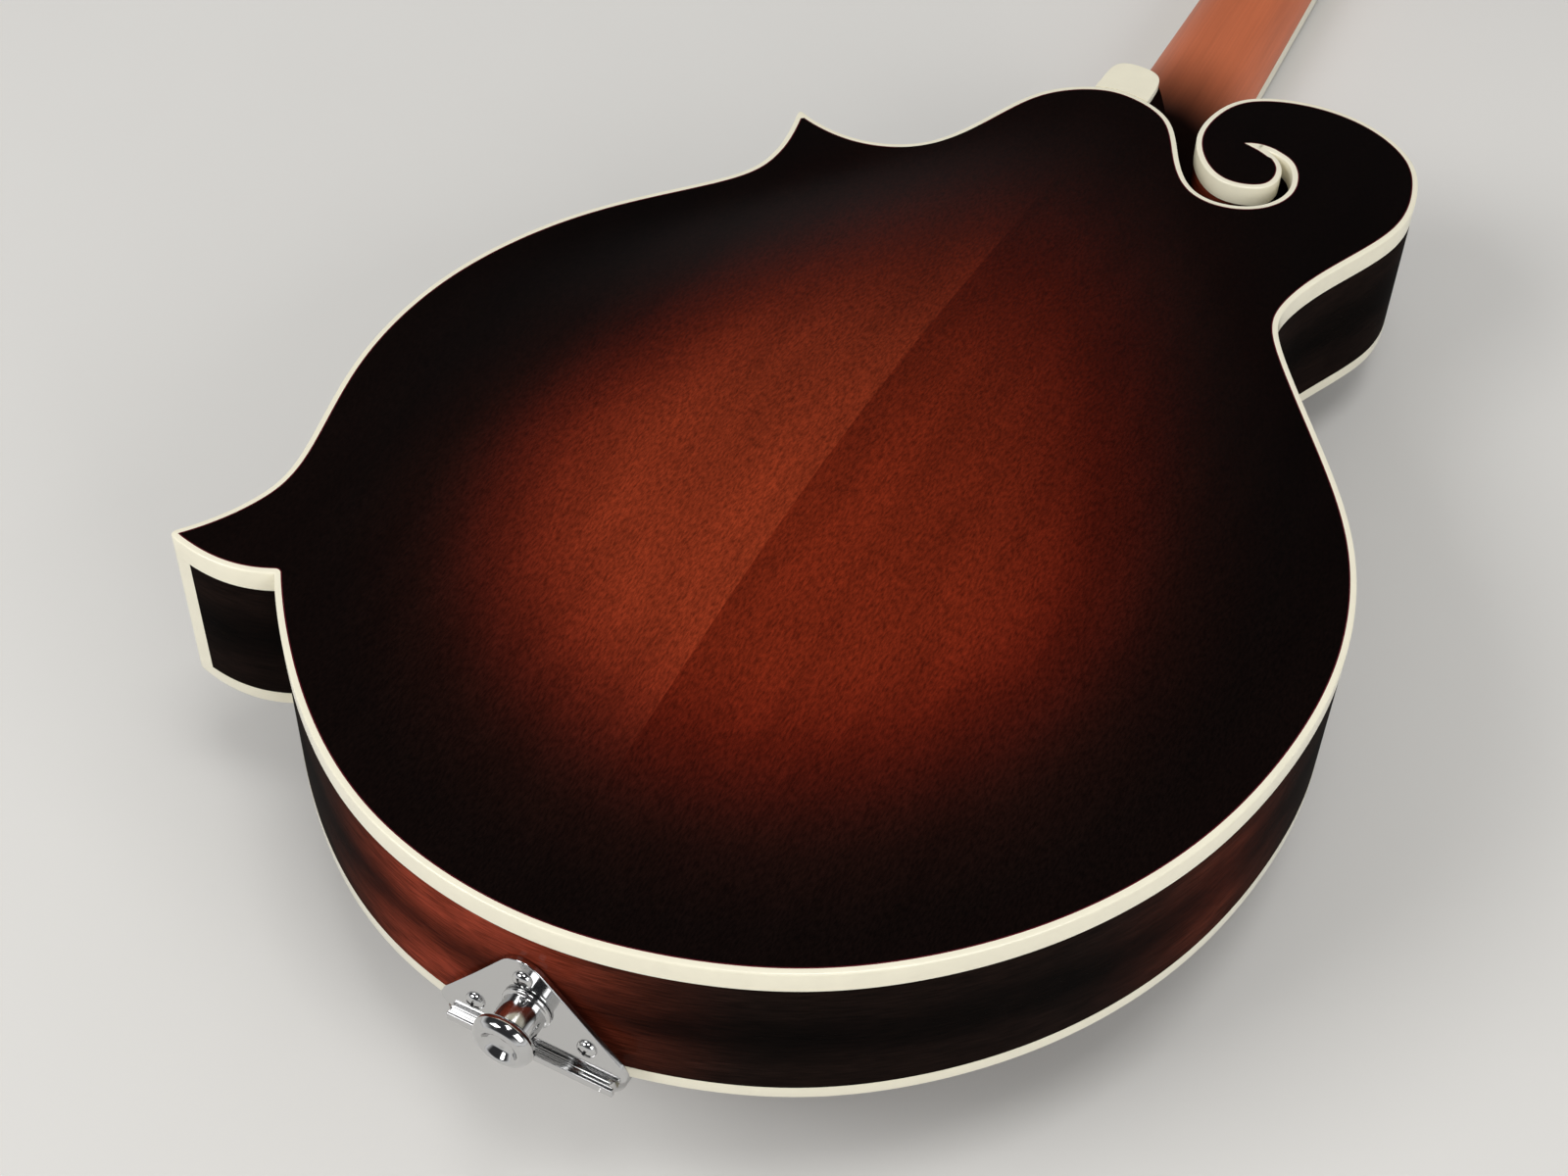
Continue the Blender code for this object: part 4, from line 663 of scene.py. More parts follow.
def datablock(name: str, bm: Mesh) -> bpy.types.Mesh:
    """Keeps a bmesh as a mesh.

    Args:
        name: The mesh's name.
        bm: The bmesh, which is freed.

    Returns:
        The mesh.
    """
    mesh = bpy.data.meshes.new(name)
    bm.to_mesh(mesh)
    bm.free()
    return mesh


def shown(name: str, data: bpy.types.ID) -> bpy.types.Object:
    """Puts a new object in the scene.

    Args:
        name: Its name.
        data: Its mesh, lamp or camera.

    Returns:
        The object.
    """
    obj = bpy.data.objects.new(name, data)
    bpy.context.scene.collection.objects.link(obj)
    return obj


def joined(parts: Sequence[Mesh]) -> Mesh:
    """Puts several bodies into one bmesh.

    Args:
        parts: Their bmeshes, which are freed.

    Returns:
        The bmesh that holds them all.
    """
    whole = bmesh.new()
    for part in parts:
        mesh = datablock("part", part)
        whole.from_mesh(mesh)
        bpy.data.meshes.remove(mesh)
    return whole


class Cut(Enum):
    """What a Boolean does with its tool."""

    AWAY = "DIFFERENCE"
    ADD = "UNION"
    COMMON = "INTERSECT"


def carved(stock: Mesh, tool: Mesh, cut: Cut = Cut.AWAY) -> Mesh:
    """Works a piece with a Boolean.

    Args:
        stock: The piece, which is freed.
        tool: The shape that works it, which is freed.
        cut: What is done with the tool.

    Returns:
        The bmesh of the result.
    """
    made = []
    for label, bm in (("stock", stock), ("tool", tool)):
        bmesh.ops.recalc_face_normals(bm, faces=bm.faces)
        made.append(shown(label, datablock(label, bm)))
    modifier = made[0].modifiers.new("cut", "BOOLEAN")
    modifier.solver = "EXACT"
    modifier.operation = cut.value
    modifier.object = made[1]
    result = bmesh.new()
    result.from_object(made[0], bpy.context.evaluated_depsgraph_get())
    for obj in made:
        mesh = obj.data
        bpy.data.objects.remove(obj)
        bpy.data.meshes.remove(mesh)
    return result


def linear(colour: str) -> tuple[float, float, float, float]:
    """A hex sRGB colour such as "EFE9D0" as linear values with full alpha."""
    shares = [int(colour[i:i + 2], 16) / 255.0 for i in (0, 2, 4)]
    return (*(s / 12.92 if s <= 0.04045 else ((s + 0.055) / 1.055) ** 2.4 for s in shares), 1.0)


def feed(tree: Tree, node: Node, inputs: Inputs) -> None:
    """Links or sets a node's inputs.

    Args:
        tree: The node tree.
        node: The node.
        inputs: What each input gets, by its name or number, or just in order: a socket, a node whose first output
            it takes, or a value.
    """
    for key, value in inputs.items() if isinstance(inputs, dict) else enumerate(inputs):
        source = value.outputs[0] if isinstance(value, Node) else value
        if isinstance(source, Socket):
            tree.links.new(source, node.inputs[key])
        else:
            node.inputs[key].default_value = source


def add(tree: Tree, kind: str, inputs: Inputs = (), **settings: object) -> Node:
    """Adds a node.

    Args:
        tree: The node tree.
        kind: The node's type, without the word ShaderNode.
        inputs: What its inputs get.
        settings: The node's own properties.

    Returns:
        The node.
    """
    made = tree.nodes.new("ShaderNode" + kind)
    for name, value in settings.items():
        setattr(made, name, value)
    feed(tree, made, inputs)
    return made


def drawn_in(tree: Tree, base: Matrix) -> Node:
    """Finds where a point of the piece is in a drawing frame.

    Args:
        tree: The node tree.
        base: The drawing frame.

    Returns:
        The node that gives the place in millimetres.
    """
    back = base.inverted()
    place = add(tree, "TexCoord").outputs["Object"]
    return add(tree, "Mapping", {"Vector": place, "Location": back.translation, "Rotation": back.to_euler(),
                                 "Scale": (1 / MM,) * 3})


def streaks(tree: Tree, place: Node, size: Sequence[float], low: float, high: float, detail: float = 3.0) -> Node:
    """Noise stretched to a size.

    Args:
        tree: The node tree.
        place: The place in millimetres.
        size: The size of its blotches along x, y and z, in millimetres.
        low: The factor in its hollows.
        high: The factor on its crests.
        detail: How many finer layers it has.

    Returns:
        The node that gives the factor.
    """
    scaled = add(tree, "Mapping", {"Vector": place, "Scale": tuple(1.0 / s for s in size)})
    noise = add(tree, "TexNoise", {"Vector": scaled, "Scale": 1.0, "Detail": detail, "Roughness": 0.6})
    return add(tree, "MapRange", (noise.outputs["Fac"], 0.3, 0.7, low, high))


def shaded(tree: Tree, colour: Source, *factors: Source) -> Source:
    """Makes a colour darker or lighter.

    Args:
        tree: The node tree.
        colour: The colour.
        factors: What it is multiplied by, in turn.

    Returns:
        The node that gives the new colour.
    """
    for factor in factors:
        colour = add(tree, "VectorMath", {0: colour, "Scale": factor}, operation="SCALE")
    return colour


def together(tree: Tree, operation: str, values: Sequence[Source]) -> Source:
    """Takes several values together, from the first to the last.

    Args:
        tree: The node tree.
        operation: What joins each to the ones before it, such as ADD or MINIMUM.
        values: The values, from sockets or nodes.

    Returns:
        The node that gives the result.
    """
    whole = values[0]
    for value in values[1:]:
        whole = add(tree, "Math", (whole, value), operation=operation)
    return whole


@dataclass(frozen=True)
class Finish:
    """A surface finish, which carries the name of a slot and makes its own material once."""

    name: str
    slot: str
    roughness: float = 0.4
    metallic: float = 0.0
    coat: float = 0.0
    specular: float = 0.5
    coat_roughness: float = 0.03

    def material(self) -> bpy.types.Material:
        """The finish's material, made at the first call.

        Returns:
            The material.
        """
        found = bpy.data.materials.get(self.name)
        if found is None:
            found = bpy.data.materials.new(self.name)
            found.use_nodes = True
            tree = found.node_tree
            shader = tree.nodes["Principled BSDF"]
            feed(tree, shader, {"Roughness": self.roughness, "Metallic": self.metallic, "Coat Weight": self.coat,
                                "Specular IOR Level": self.specular, "Coat Roughness": self.coat_roughness})
            feed(tree, shader, self.paint(tree))
        return found

    def paint(self, tree: Tree) -> Inputs:
        """Adds the finish's own nodes to a tree and says what the shader's inputs get from them."""
        raise NotImplementedError


@dataclass(frozen=True)
class BurstLacquer(Finish):
    """Stained wood under sprayed shaded lacquer, buffed: a glow of stain that fades to black, wet gloss."""

    stops: tuple[tuple[float, str], ...] = ()     # the stain's colour by the distance from the glow
    fleck: Triple = (0.5, 4.0, 4.0)               # pore flecks, drawn coarser than the real ones
    fleck_depth: float = 0.2
    ribbon: Triple = (60.0, 9.0, 40.0)            # the figure that lies across the grain
    ribbon_depth: float = 0.04
    second_half_shade: str = "FFFFFF"                   # painted shade on the half at positive x, which is made darker than the other half
    seam_half: float = 0.12
    seam_light_step: float = 0.0                        # painted highlight on the half at negative x next to the seam, and painted shade on the other half there
    seam_reach: float = 13.0
    halves_fade: Pair = (0.85, 1.12)              # at which distances the halves become alike
    pore_depth: float = 0.02

    def distance(self, tree: Tree, place: Node) -> Node:
        """How far a place is from the glow; each kind of burst has its own measure."""
        raise NotImplementedError

    def light(self, tree: Tree, place: Node) -> Source:
        """How bright the stain is at a place, apart from its distance."""
        return 1.0

    def paint(self, tree: Tree) -> Inputs:
        """The stain's colour by the distance from its glow, with flecks, figure and book-matched halves; painted shade
        darkens the half at positive x, and next to the seam a painted highlight lightens the other half.

        Args:
            tree: The node tree.

        Returns:
            The colour and the pores' relief.
        """
        place = drawn_in(tree, BODY)
        last = self.stops[-1][0]
        away = self.distance(tree, place)
        spread = add(tree, "Math", (away, 1.0 / last), operation="MULTIPLY")
        ramp = add(tree, "ValToRGB", {"Fac": spread})
        ramp.color_ramp.interpolation = "B_SPLINE"
        while len(ramp.color_ramp.elements) < len(self.stops):
            ramp.color_ramp.elements.new(0.5)
        for element, (where, colour) in zip(ramp.color_ramp.elements, self.stops):
            element.position = where / last
            element.color = linear(colour)
        flecks = streaks(tree, place, self.fleck, 1.0 - self.fleck_depth, 1.0 + 0.7 * self.fleck_depth)
        figure = streaks(tree, place, self.ribbon, 1.0 - self.ribbon_depth, 1.0 + self.ribbon_depth, 1.0)
        wood = shaded(tree, ramp, flecks, self.light(tree, place), figure)
        across = add(tree, "SeparateXYZ", (place,)).outputs["X"]
        half = add(tree, "MapRange", (across, -self.seam_half, self.seam_half))
        clear = add(tree, "MapRange", (away, *self.halves_fade, 1.0, 0.0))
        share = add(tree, "Math", (half, clear), operation="MULTIPLY")
        # painted shade: the half at positive x is darkened against the other half
        half_shade = add(tree, "Mix", {0: share, 6: linear("FFFFFF"), 7: linear(self.second_half_shade)}, data_type="RGBA")
        wood = add(tree, "VectorMath", (wood, half_shade.outputs[2]), operation="MULTIPLY")
        # next to the seam, a painted highlight on the half at negative x and painted shade on the other half
        near = add(tree, "Math", (across,), operation="ABSOLUTE")
        fade = add(tree, "MapRange", (near, 0.0, self.seam_reach, self.seam_light_step, 0.0))
        fade = add(tree, "Math", (fade, clear), operation="MULTIPLY")
        side = add(tree, "MapRange", (half, 0.0, 1.0, 1.0, -1.0))
        step = add(tree, "Math", (side, fade, 1.0), operation="MULTIPLY_ADD")
        pores = add(tree, "Bump", {"Height": flecks, "Distance": self.pore_depth * MM, "Strength": 1.0})
        return {"Base Color": shaded(tree, wood, step), "Normal": pores}


@dataclass(frozen=True)
class EggBurst(BurstLacquer):
    """A burst that follows the body's plan: round towards the tail and drawn out towards the neck."""

    centre: Pair = (2.5, 125.0)
    half_width: float = 76.0
    to_tail: float = 82.0
    to_neck: float = 137.0
    taper: float = 1.4                       # under 2, the end towards the neck is more pointed than an ellipse
    dimmer: Triple = (115.0, 205.0, 0.8)     # from where to where the glow dims, and how far

    def distance(self, tree: Tree, place: Node) -> Node:
        """The distance from the egg's middle.

        Args:
            tree: The node tree.
            place: The place in millimetres.

        Returns:
            The node that gives it, which is 1 on the egg's edge.
        """
        parts = add(tree, "SeparateXYZ", (place,)).outputs
        terms = []
        for socket, middle, size, power, kind in (
                (parts["X"], self.centre[0], self.half_width, 2.0, "ABSOLUTE"),
                (parts["Y"], self.centre[1], self.to_neck, self.taper, "MAXIMUM"),
                (parts["Y"], self.centre[1], -self.to_tail, 2.0, "MAXIMUM")):
            away = add(tree, "Math", (socket, middle), operation="SUBTRACT")
            share = add(tree, "Math", (away, size), operation="DIVIDE")
            share = add(tree, "Math", (share, 0.0), operation=kind)
            terms.append(add(tree, "Math", (share, power), operation="POWER"))
        return add(tree, "Math", (together(tree, "ADD", terms), 0.5), operation="POWER")

    def light(self, tree: Tree, place: Node) -> Source:
        """Dims the glow towards the neck."""
        start, end, dimmed = self.dimmer
        return add(tree, "MapRange", (add(tree, "SeparateXYZ", (place,)).outputs["Y"], start, end, 1.0, dimmed))


@dataclass(frozen=True)
class SpotBurst(BurstLacquer):
    """A burst of several glows round the rim, each with a darker stripe at half the rim's depth."""

    glows: tuple[tuple[Triple, float, float], ...] = ()                     # centre, reach, least distance
    stripe: tuple[float, float, float, float] = (-23.5, 1.0, 13.0, 0.3)     # height, core, reach, brightness

    def distance(self, tree: Tree, place: Node) -> Node:
        """The distance from the nearest glow.

        Args:
            tree: The node tree.
            place: The place in millimetres.

        Returns:
            The node that gives it in shares of that glow's reach.
        """
        gaps = []
        for centre, reach, least in self.glows:
            gap = add(tree, "VectorMath", (place, centre), operation="DISTANCE").outputs["Value"]
            gaps.append(add(tree, "Math", (gap, 1.0 / reach, least), operation="MULTIPLY_ADD"))
        return together(tree, "MINIMUM", gaps)

    def light(self, tree: Tree, place: Node) -> Source:
        """Darkens the stripe.

        Args:
            tree: The node tree.
            place: The place in millimetres.

        Returns:
            The node that gives the brightness.
        """
        height, core, reach, brightness = self.stripe
        tall = add(tree, "SeparateXYZ", (place,)).outputs["Z"]
        away = add(tree, "Math", (tall, height), operation="SUBTRACT")
        away = add(tree, "Math", (away,), operation="ABSOLUTE")
        return add(tree, "MapRange", (away, core, reach, brightness, 1.0), interpolation_type="SMOOTHSTEP")


@dataclass(frozen=True)
class NeckStain(Finish):
    """Maple neck, stained red-brown and sprayed black at the heel and the headstock, under satin lacquer."""

    brown: str = "BC6643"
    black: str = "120907"
    heel_dark: Pair = (-157.0, -114.0)     # where the black of the heel and of the head fade
    head_dark: Pair = (-28.0, 4.0)
    satin: float = 0.22                    # specular level of the brown part
    grain: Triple = (0.7, 34.0, 0.9)       # drawn coarser than the real pores
    cloud: Triple = (9.0, 70.0, 9.0)
    pore_depth: float = 0.02

    def paint(self, tree: Tree) -> Inputs:
        """Long grain under two black ends.

        Args:
            tree: The node tree.

        Returns:
            The colour, the specular level and the pores' relief.
        """
        place = drawn_in(tree, NECK)
        along = add(tree, "SeparateXYZ", (place,)).outputs["Y"]
        heel = add(tree, "MapRange", (along, *self.heel_dark), interpolation_type="SMOOTHSTEP")
        head = add(tree, "MapRange", (along, *self.head_dark, 1.0, 0.0), interpolation_type="SMOOTHSTEP")
        share = add(tree, "Math", (heel, head), operation="MULTIPLY")
        stain = add(tree, "Mix", {0: share, 6: linear(self.black), 7: linear(self.brown)}, data_type="RGBA")
        grain = streaks(tree, place, self.grain, 0.91, 1.07)
        return {"Base Color": shaded(tree, stain.outputs[2], grain, streaks(tree, place, self.cloud, 0.92, 1.08, 1.0)),
                "Specular IOR Level": add(tree, "MapRange", (share, 0.0, 1.0, 0.0, self.satin)),
                "Normal": add(tree, "Bump", {"Height": grain, "Distance": self.pore_depth * MM, "Strength": 1.0})}


@dataclass(frozen=True)
class Plain(Finish):
    """A material of one colour with a fine pattern: celluloid, bone, ebony, bare wood or paper."""

    colour: str = "FFFFFF"
    pattern: Triple = (3.0, 3.0, 3.0)
    spread: float = 0.06
    depth: float = 0.005

    def paint(self, tree: Tree) -> Inputs:
        """The colour, made lighter and darker by its pattern.

        Args:
            tree: The node tree.

        Returns:
            The colour, and the pattern as a slight relief.
        """
        cloud = streaks(tree, drawn_in(tree, NECK), self.pattern, 1.0 - self.spread, 1.0 + self.spread)
        return {"Base Color": shaded(tree, linear(self.colour)[:3], cloud),
                "Normal": add(tree, "Bump", {"Height": cloud, "Distance": self.depth * MM, "Strength": 1.0})}


@dataclass(frozen=True)
class Metal(Finish):
    """A metal surface: plated, drawn or wound."""

    metallic: float = 1.0
    colour: str = "C9C9CC"
    wear: Triple = (6.0, 6.0, 6.0)
    haze: float = 0.05                     # how far smears raise the roughness
    turns: float = 0.0                     # pitch of a winding in millimetres, or 0 for a plain surface
    turn_depth: float = 0.12
    ripple: float = 0.003

    def paint(self, tree: Tree) -> Inputs:
        """One colour with smears in its gloss, and a winding's ridges where it has one.

        Args:
            tree: The node tree.

        Returns:
            The colour, the roughness and the relief.
        """
        place = drawn_in(tree, NECK)
        haze = streaks(tree, place, self.wear, self.roughness, self.roughness + self.haze)
        if self.turns:
            wave = add(tree, "TexWave", {"Vector": place, "Scale": 0.1 * math.pi / self.turns}, wave_type="BANDS",
                       bands_direction="Y", wave_profile="SIN")
            height, depth = wave.outputs["Fac"], self.turn_depth
        else:
            height, depth = streaks(tree, place, tuple(2.0 * w for w in self.wear), 0.0, 1.0, 1.0), self.ripple
        return {"Base Color": linear(self.colour), "Roughness": haze,
                "Normal": add(tree, "Bump", {"Height": height, "Distance": depth * MM, "Strength": 1.0})}


@dataclass(frozen=True)
class Pearl(Finish):
    """Cut shell, polished: clouded white with faint bands of green and rose."""

    green: str = "DDE2DB"
    rose: str = "EBE3DD"

    def paint(self, tree: Tree) -> Inputs:
        """Bands of pale colour from a warped wave.

        Args:
            tree: The node tree.

        Returns:
            The colour.
        """
        wave = add(tree, "TexWave", {"Vector": drawn_in(tree, NECK), "Scale": 0.12, "Distortion": 9.0, "Detail": 2.0})
        ramp = add(tree, "ValToRGB", {"Fac": wave.outputs["Fac"]})
        for element, colour in zip(ramp.color_ramp.elements, (self.green, self.rose)):
            element.color = linear(colour)
        return {"Base Color": ramp}


# Maple back, stained red-brown under shaded lacquer: the glow fills the wide bout and dims towards the neck. Painted
# shade darkens the half at positive x, and next to the seam a painted highlight lightens the other half.
BACK_BURST = EggBurst(
    "maple_back_burst", "maple_sunburst", roughness=0.5, coat=0.09, specular=0.02, second_half_shade="E4D0CA",
    seam_light_step=0.11, dimmer=(105.0, 215.0, 0.6), fleck=(0.5, 1.7, 1.7), fleck_depth=0.5, ribbon=(9.0, 46.0, 40.0),
    ribbon_depth=0.11,
    stops=((0.0, "7E2D16"), (0.58, "7C2C16"), (0.76, "6B2211"), (0.86, "571A0D"), (0.97, "3F120A"), (1.07, "280D08"),
           (1.18, "180906"), (1.4, "0B0605")))
# Maple rim: red-brown round the tail, black past it, a faint glow on the flanks, grain running round the rim. The
# small strong glow in the scroll's slot is partly the rim's red stain and partly a painted reflection, made bright
# against the slot's shade.
RIB_BURST = SpotBurst(
    "maple_rib_burst", "maple_sunburst", roughness=0.5, coat=0.04, specular=0.0, fleck=(6.0, 6.0, 0.4),
    fleck_depth=0.55, ribbon=(16.0, 16.0, 5.0), ribbon_depth=0.25,
    glows=(((-12.0, 1.0, -23.5), 46.0, -0.1), ((119.0, 96.0, -23.5), 60.0, 0.57),
           # the last glow, in the scroll's slot, is partly stain and partly a painted reflection, made bright against
           # the slot's shade
           ((-119.0, 150.0, -23.5), 60.0, 0.85), ((33.0, 302.0, -9.0), 12.0, -0.1)),
    stops=((0.0, "8A3A28"), (0.4, "7C3424"), (0.7, "421D13"), (1.05, "22130F"), (1.3, "140D0A")))
# Spruce top under the same lacquer: an amber glow round the bridge with close straight grain.
TOP_BURST = EggBurst(
    "spruce_top_burst", "spruce_sunburst", roughness=0.5, coat=0.11, specular=0.02, fleck=(0.9, 60.0, 60.0),
    ribbon=(20.0, 60.0, 40.0), ribbon_depth=0.1, centre=(0.0, 150.0), half_width=86.0, to_tail=104.0, to_neck=128.0,
    stops=((0.0, "C4762E"), (0.5, "B4622A"), (0.8, "7A3318"), (1.0, "3E170D"), (1.2, "180B08"), (1.4, "0B0605")))
# Maple neck, stained brown and rubbed with a satin lacquer: warm and even, with black ends and little shine.
NECK_STAIN = NeckStain("maple_neck_stain", "maple_neck", roughness=0.42)
# Stain that bled under the scraped edge of the binding: a thin dark red line.
BLED_STAIN = Plain("bled_red_stain", "maple_sunburst", roughness=0.4, coat=0.2, specular=0.1, colour="571420")
# Celluloid strip, bent, scraped and buffed: even cream with a soft gloss.
CELLULOID = Plain("celluloid_binding", "cream_binding", roughness=0.3, coat=0.5, colour="EFE9D2",
                  pattern=(7.0, 7.0, 7.0), spread=0.025)
# Bare spruce, planed: pale and dull, with grain lines 1.2 mm apart.
BARE_SPRUCE = Plain("bare_spruce", "bare_wood", roughness=0.75, colour="C9A173", pattern=(1.2, 30.0, 1.2),
                    spread=0.12, depth=0.03)
# Ebony, sanded and oiled: nearly black with fine brown streaks and a dull sheen.
EBONY = Plain("oiled_ebony", "ebony", roughness=0.42, colour="1C1512", pattern=(0.5, 14.0, 0.5), spread=0.35,
              depth=0.02)
# Ebony face under buffed lacquer: black and glossy, its grain hardly shows.
BLACK_FACE = Plain("lacquered_ebony_face", "ebony", roughness=0.4, coat=0.8, colour="0E0B0A",
                   pattern=(0.6, 18.0, 0.6), spread=0.2)
# Bone, filed and polished: warm white with faint short streaks and a soft shine.
BONE = Plain("polished_bone", "bone", roughness=0.35, coat=0.15, colour="E9E1C9", pattern=(0.8, 3.0, 0.8),
             spread=0.05)
# Chrome on stamped and turned brass, buffed: a bright grey mirror with a touch of haze.
CHROME = Metal("chrome_plate", "chrome", roughness=0.06, colour="C5C5C5", haze=0.05)
# Plain steel wire, drawn: pale grey, with smears along it.
STRING_STEEL = Metal("drawn_steel", "steel", roughness=0.22, colour="C2C1BE", wear=(1.0, 9.0, 1.0), haze=0.1)
# Nickel silver wire, filed and polished across the board: warm pale grey.
FRET_NICKEL = Metal("fret_nickel_silver", "steel", roughness=0.18, colour="CFCBC2", wear=(5.0, 1.0, 5.0))
# Bronze wire wound on steel: golden brown with fine ridges, drawn at 0.5 mm where the real wire is finer.
BRONZE_WOUND = Metal("bronze_winding", "bronze_string", roughness=0.28, colour="C08B4E", turns=0.5)
# Shell, sawn and polished flush with the board: clouded white.
SHELL_DOT = Pearl("shell_dot", "bone", roughness=0.2, coat=0.4)
# Pearl-look celluloid, moulded and buffed: the same clouds under a soft gloss.
BUTTON_PEARL = Pearl("pearloid_button", "cream_binding", roughness=0.25, coat=0.5)


def piece(name: str, bm: Mesh, base: Matrix, finish: Finish, nodes: Sequence[str] = (), body: str = "instrument",
          sharp: float = 34.0, weighted: bool = False) -> bpy.types.Object:
    """Makes a finished piece of the instrument.

    Args:
        name: The piece's name.
        bm: Its shape in a drawing frame; it is freed.
        base: That frame.
        finish: Its finish.
        nodes: The nodes of the construction that it stands for.
        body: The body that it moves with.
        sharp: The least angle, in degrees, of an edge that stays sharp.
        weighted: Whether large faces keep their own shading, for flat sheet metal and slabs.

    Returns:
        The object, at the origin with its place in its mesh.
    """
    bmesh.ops.remove_doubles(bm, verts=bm.verts, dist=MERGE)
    bmesh.ops.dissolve_degenerate(bm, dist=0.1 * MERGE, edges=bm.edges)
    bmesh.ops.transform(bm, matrix=base, verts=bm.verts)
    bmesh.ops.recalc_face_normals(bm, faces=bm.faces)
    mesh = datablock(name, bm)
    mesh.shade_smooth()
    mesh.set_sharp_from_angle(angle=math.radians(sharp))
    mesh.materials.append(finish.material())
    obj = shown(name, mesh)
    if weighted:
        obj.modifiers.new("flat faces", "WEIGHTED_NORMAL").keep_sharp = True
    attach(obj, body)
    if nodes:
        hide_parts(*nodes)
    LOG.info("%s: %d faces, on %s", name, len(mesh.polygons), body)
    return obj


def arch(x: float, y: float) -> float:
    """Shape of the arch of the back and the top.

    Args:
        x: The place across the body.
        y: The place along it.

    Returns:
        The share of the arch's height: 1 at its centre, 0 on the flat edge and the points.
    """
    dy = y - ARCH_CENTRE_Y
    long, wide = ARCH_CENTRE_Y - ARCH_MARGIN, ARCH_HALF_WIDTH
    if dy > 0:
        long = ARCH_LONG
        t = min(1.0, dy / long)
        wide -= ARCH_NARROWING * t * t * (3.0 - 2.0 * t)
    r2 = (x / wide) ** 2 + (dy / long) ** 2
    return (1.0 - r2) ** ARCH_POWER if r2 < 1.0 else 0.0


def top_outer(x: float, y: float) -> float:
    """Height of the top's outer face in the body frame."""
    return TOP_Z - TOP_ARCH * arch(x, y)


def board_half(y: float) -> float:
    """Half the neck's width at a station of the neck frame."""
    return 0.5 * (NUT_WIDTH + (JOINT_WIDTH - NUT_WIDTH) * y / JOINT_Y)


def fret_place(number: int) -> float:
    """Where a fret lies along the neck, counted from the nut."""
    return -SCALE_LENGTH * (1.0 - 2.0 ** (-number / 12.0))


def cross_screw(radius: float, height: float, shank: float = 0.0) -> Mesh:
    """A domed screw head with a cross slot.

    Args:
        radius: The head's radius.
        height: Its height over z = 0.
        shank: How far the shank goes below it.

    Returns:
        The bmesh.
    """
    dome = [(radius * math.sin(a), height * math.cos(a)) for a in (k * math.pi / 16 for k in range(9))]
    profile = dome + [(radius, -0.12), (0.4 * radius, -0.12), (0.4 * radius, -0.3 - shank), (0.0, -0.3 - shank)]
    screw = turned(profile, 32)
    slot, reach = 0.14 * radius, 0.66 * radius
    for x, y in ((reach, slot), (slot, reach)):
        screw = carved(screw, block(-x, x, -y, y, 0.35 * height, 2.0 * height))
    return screw


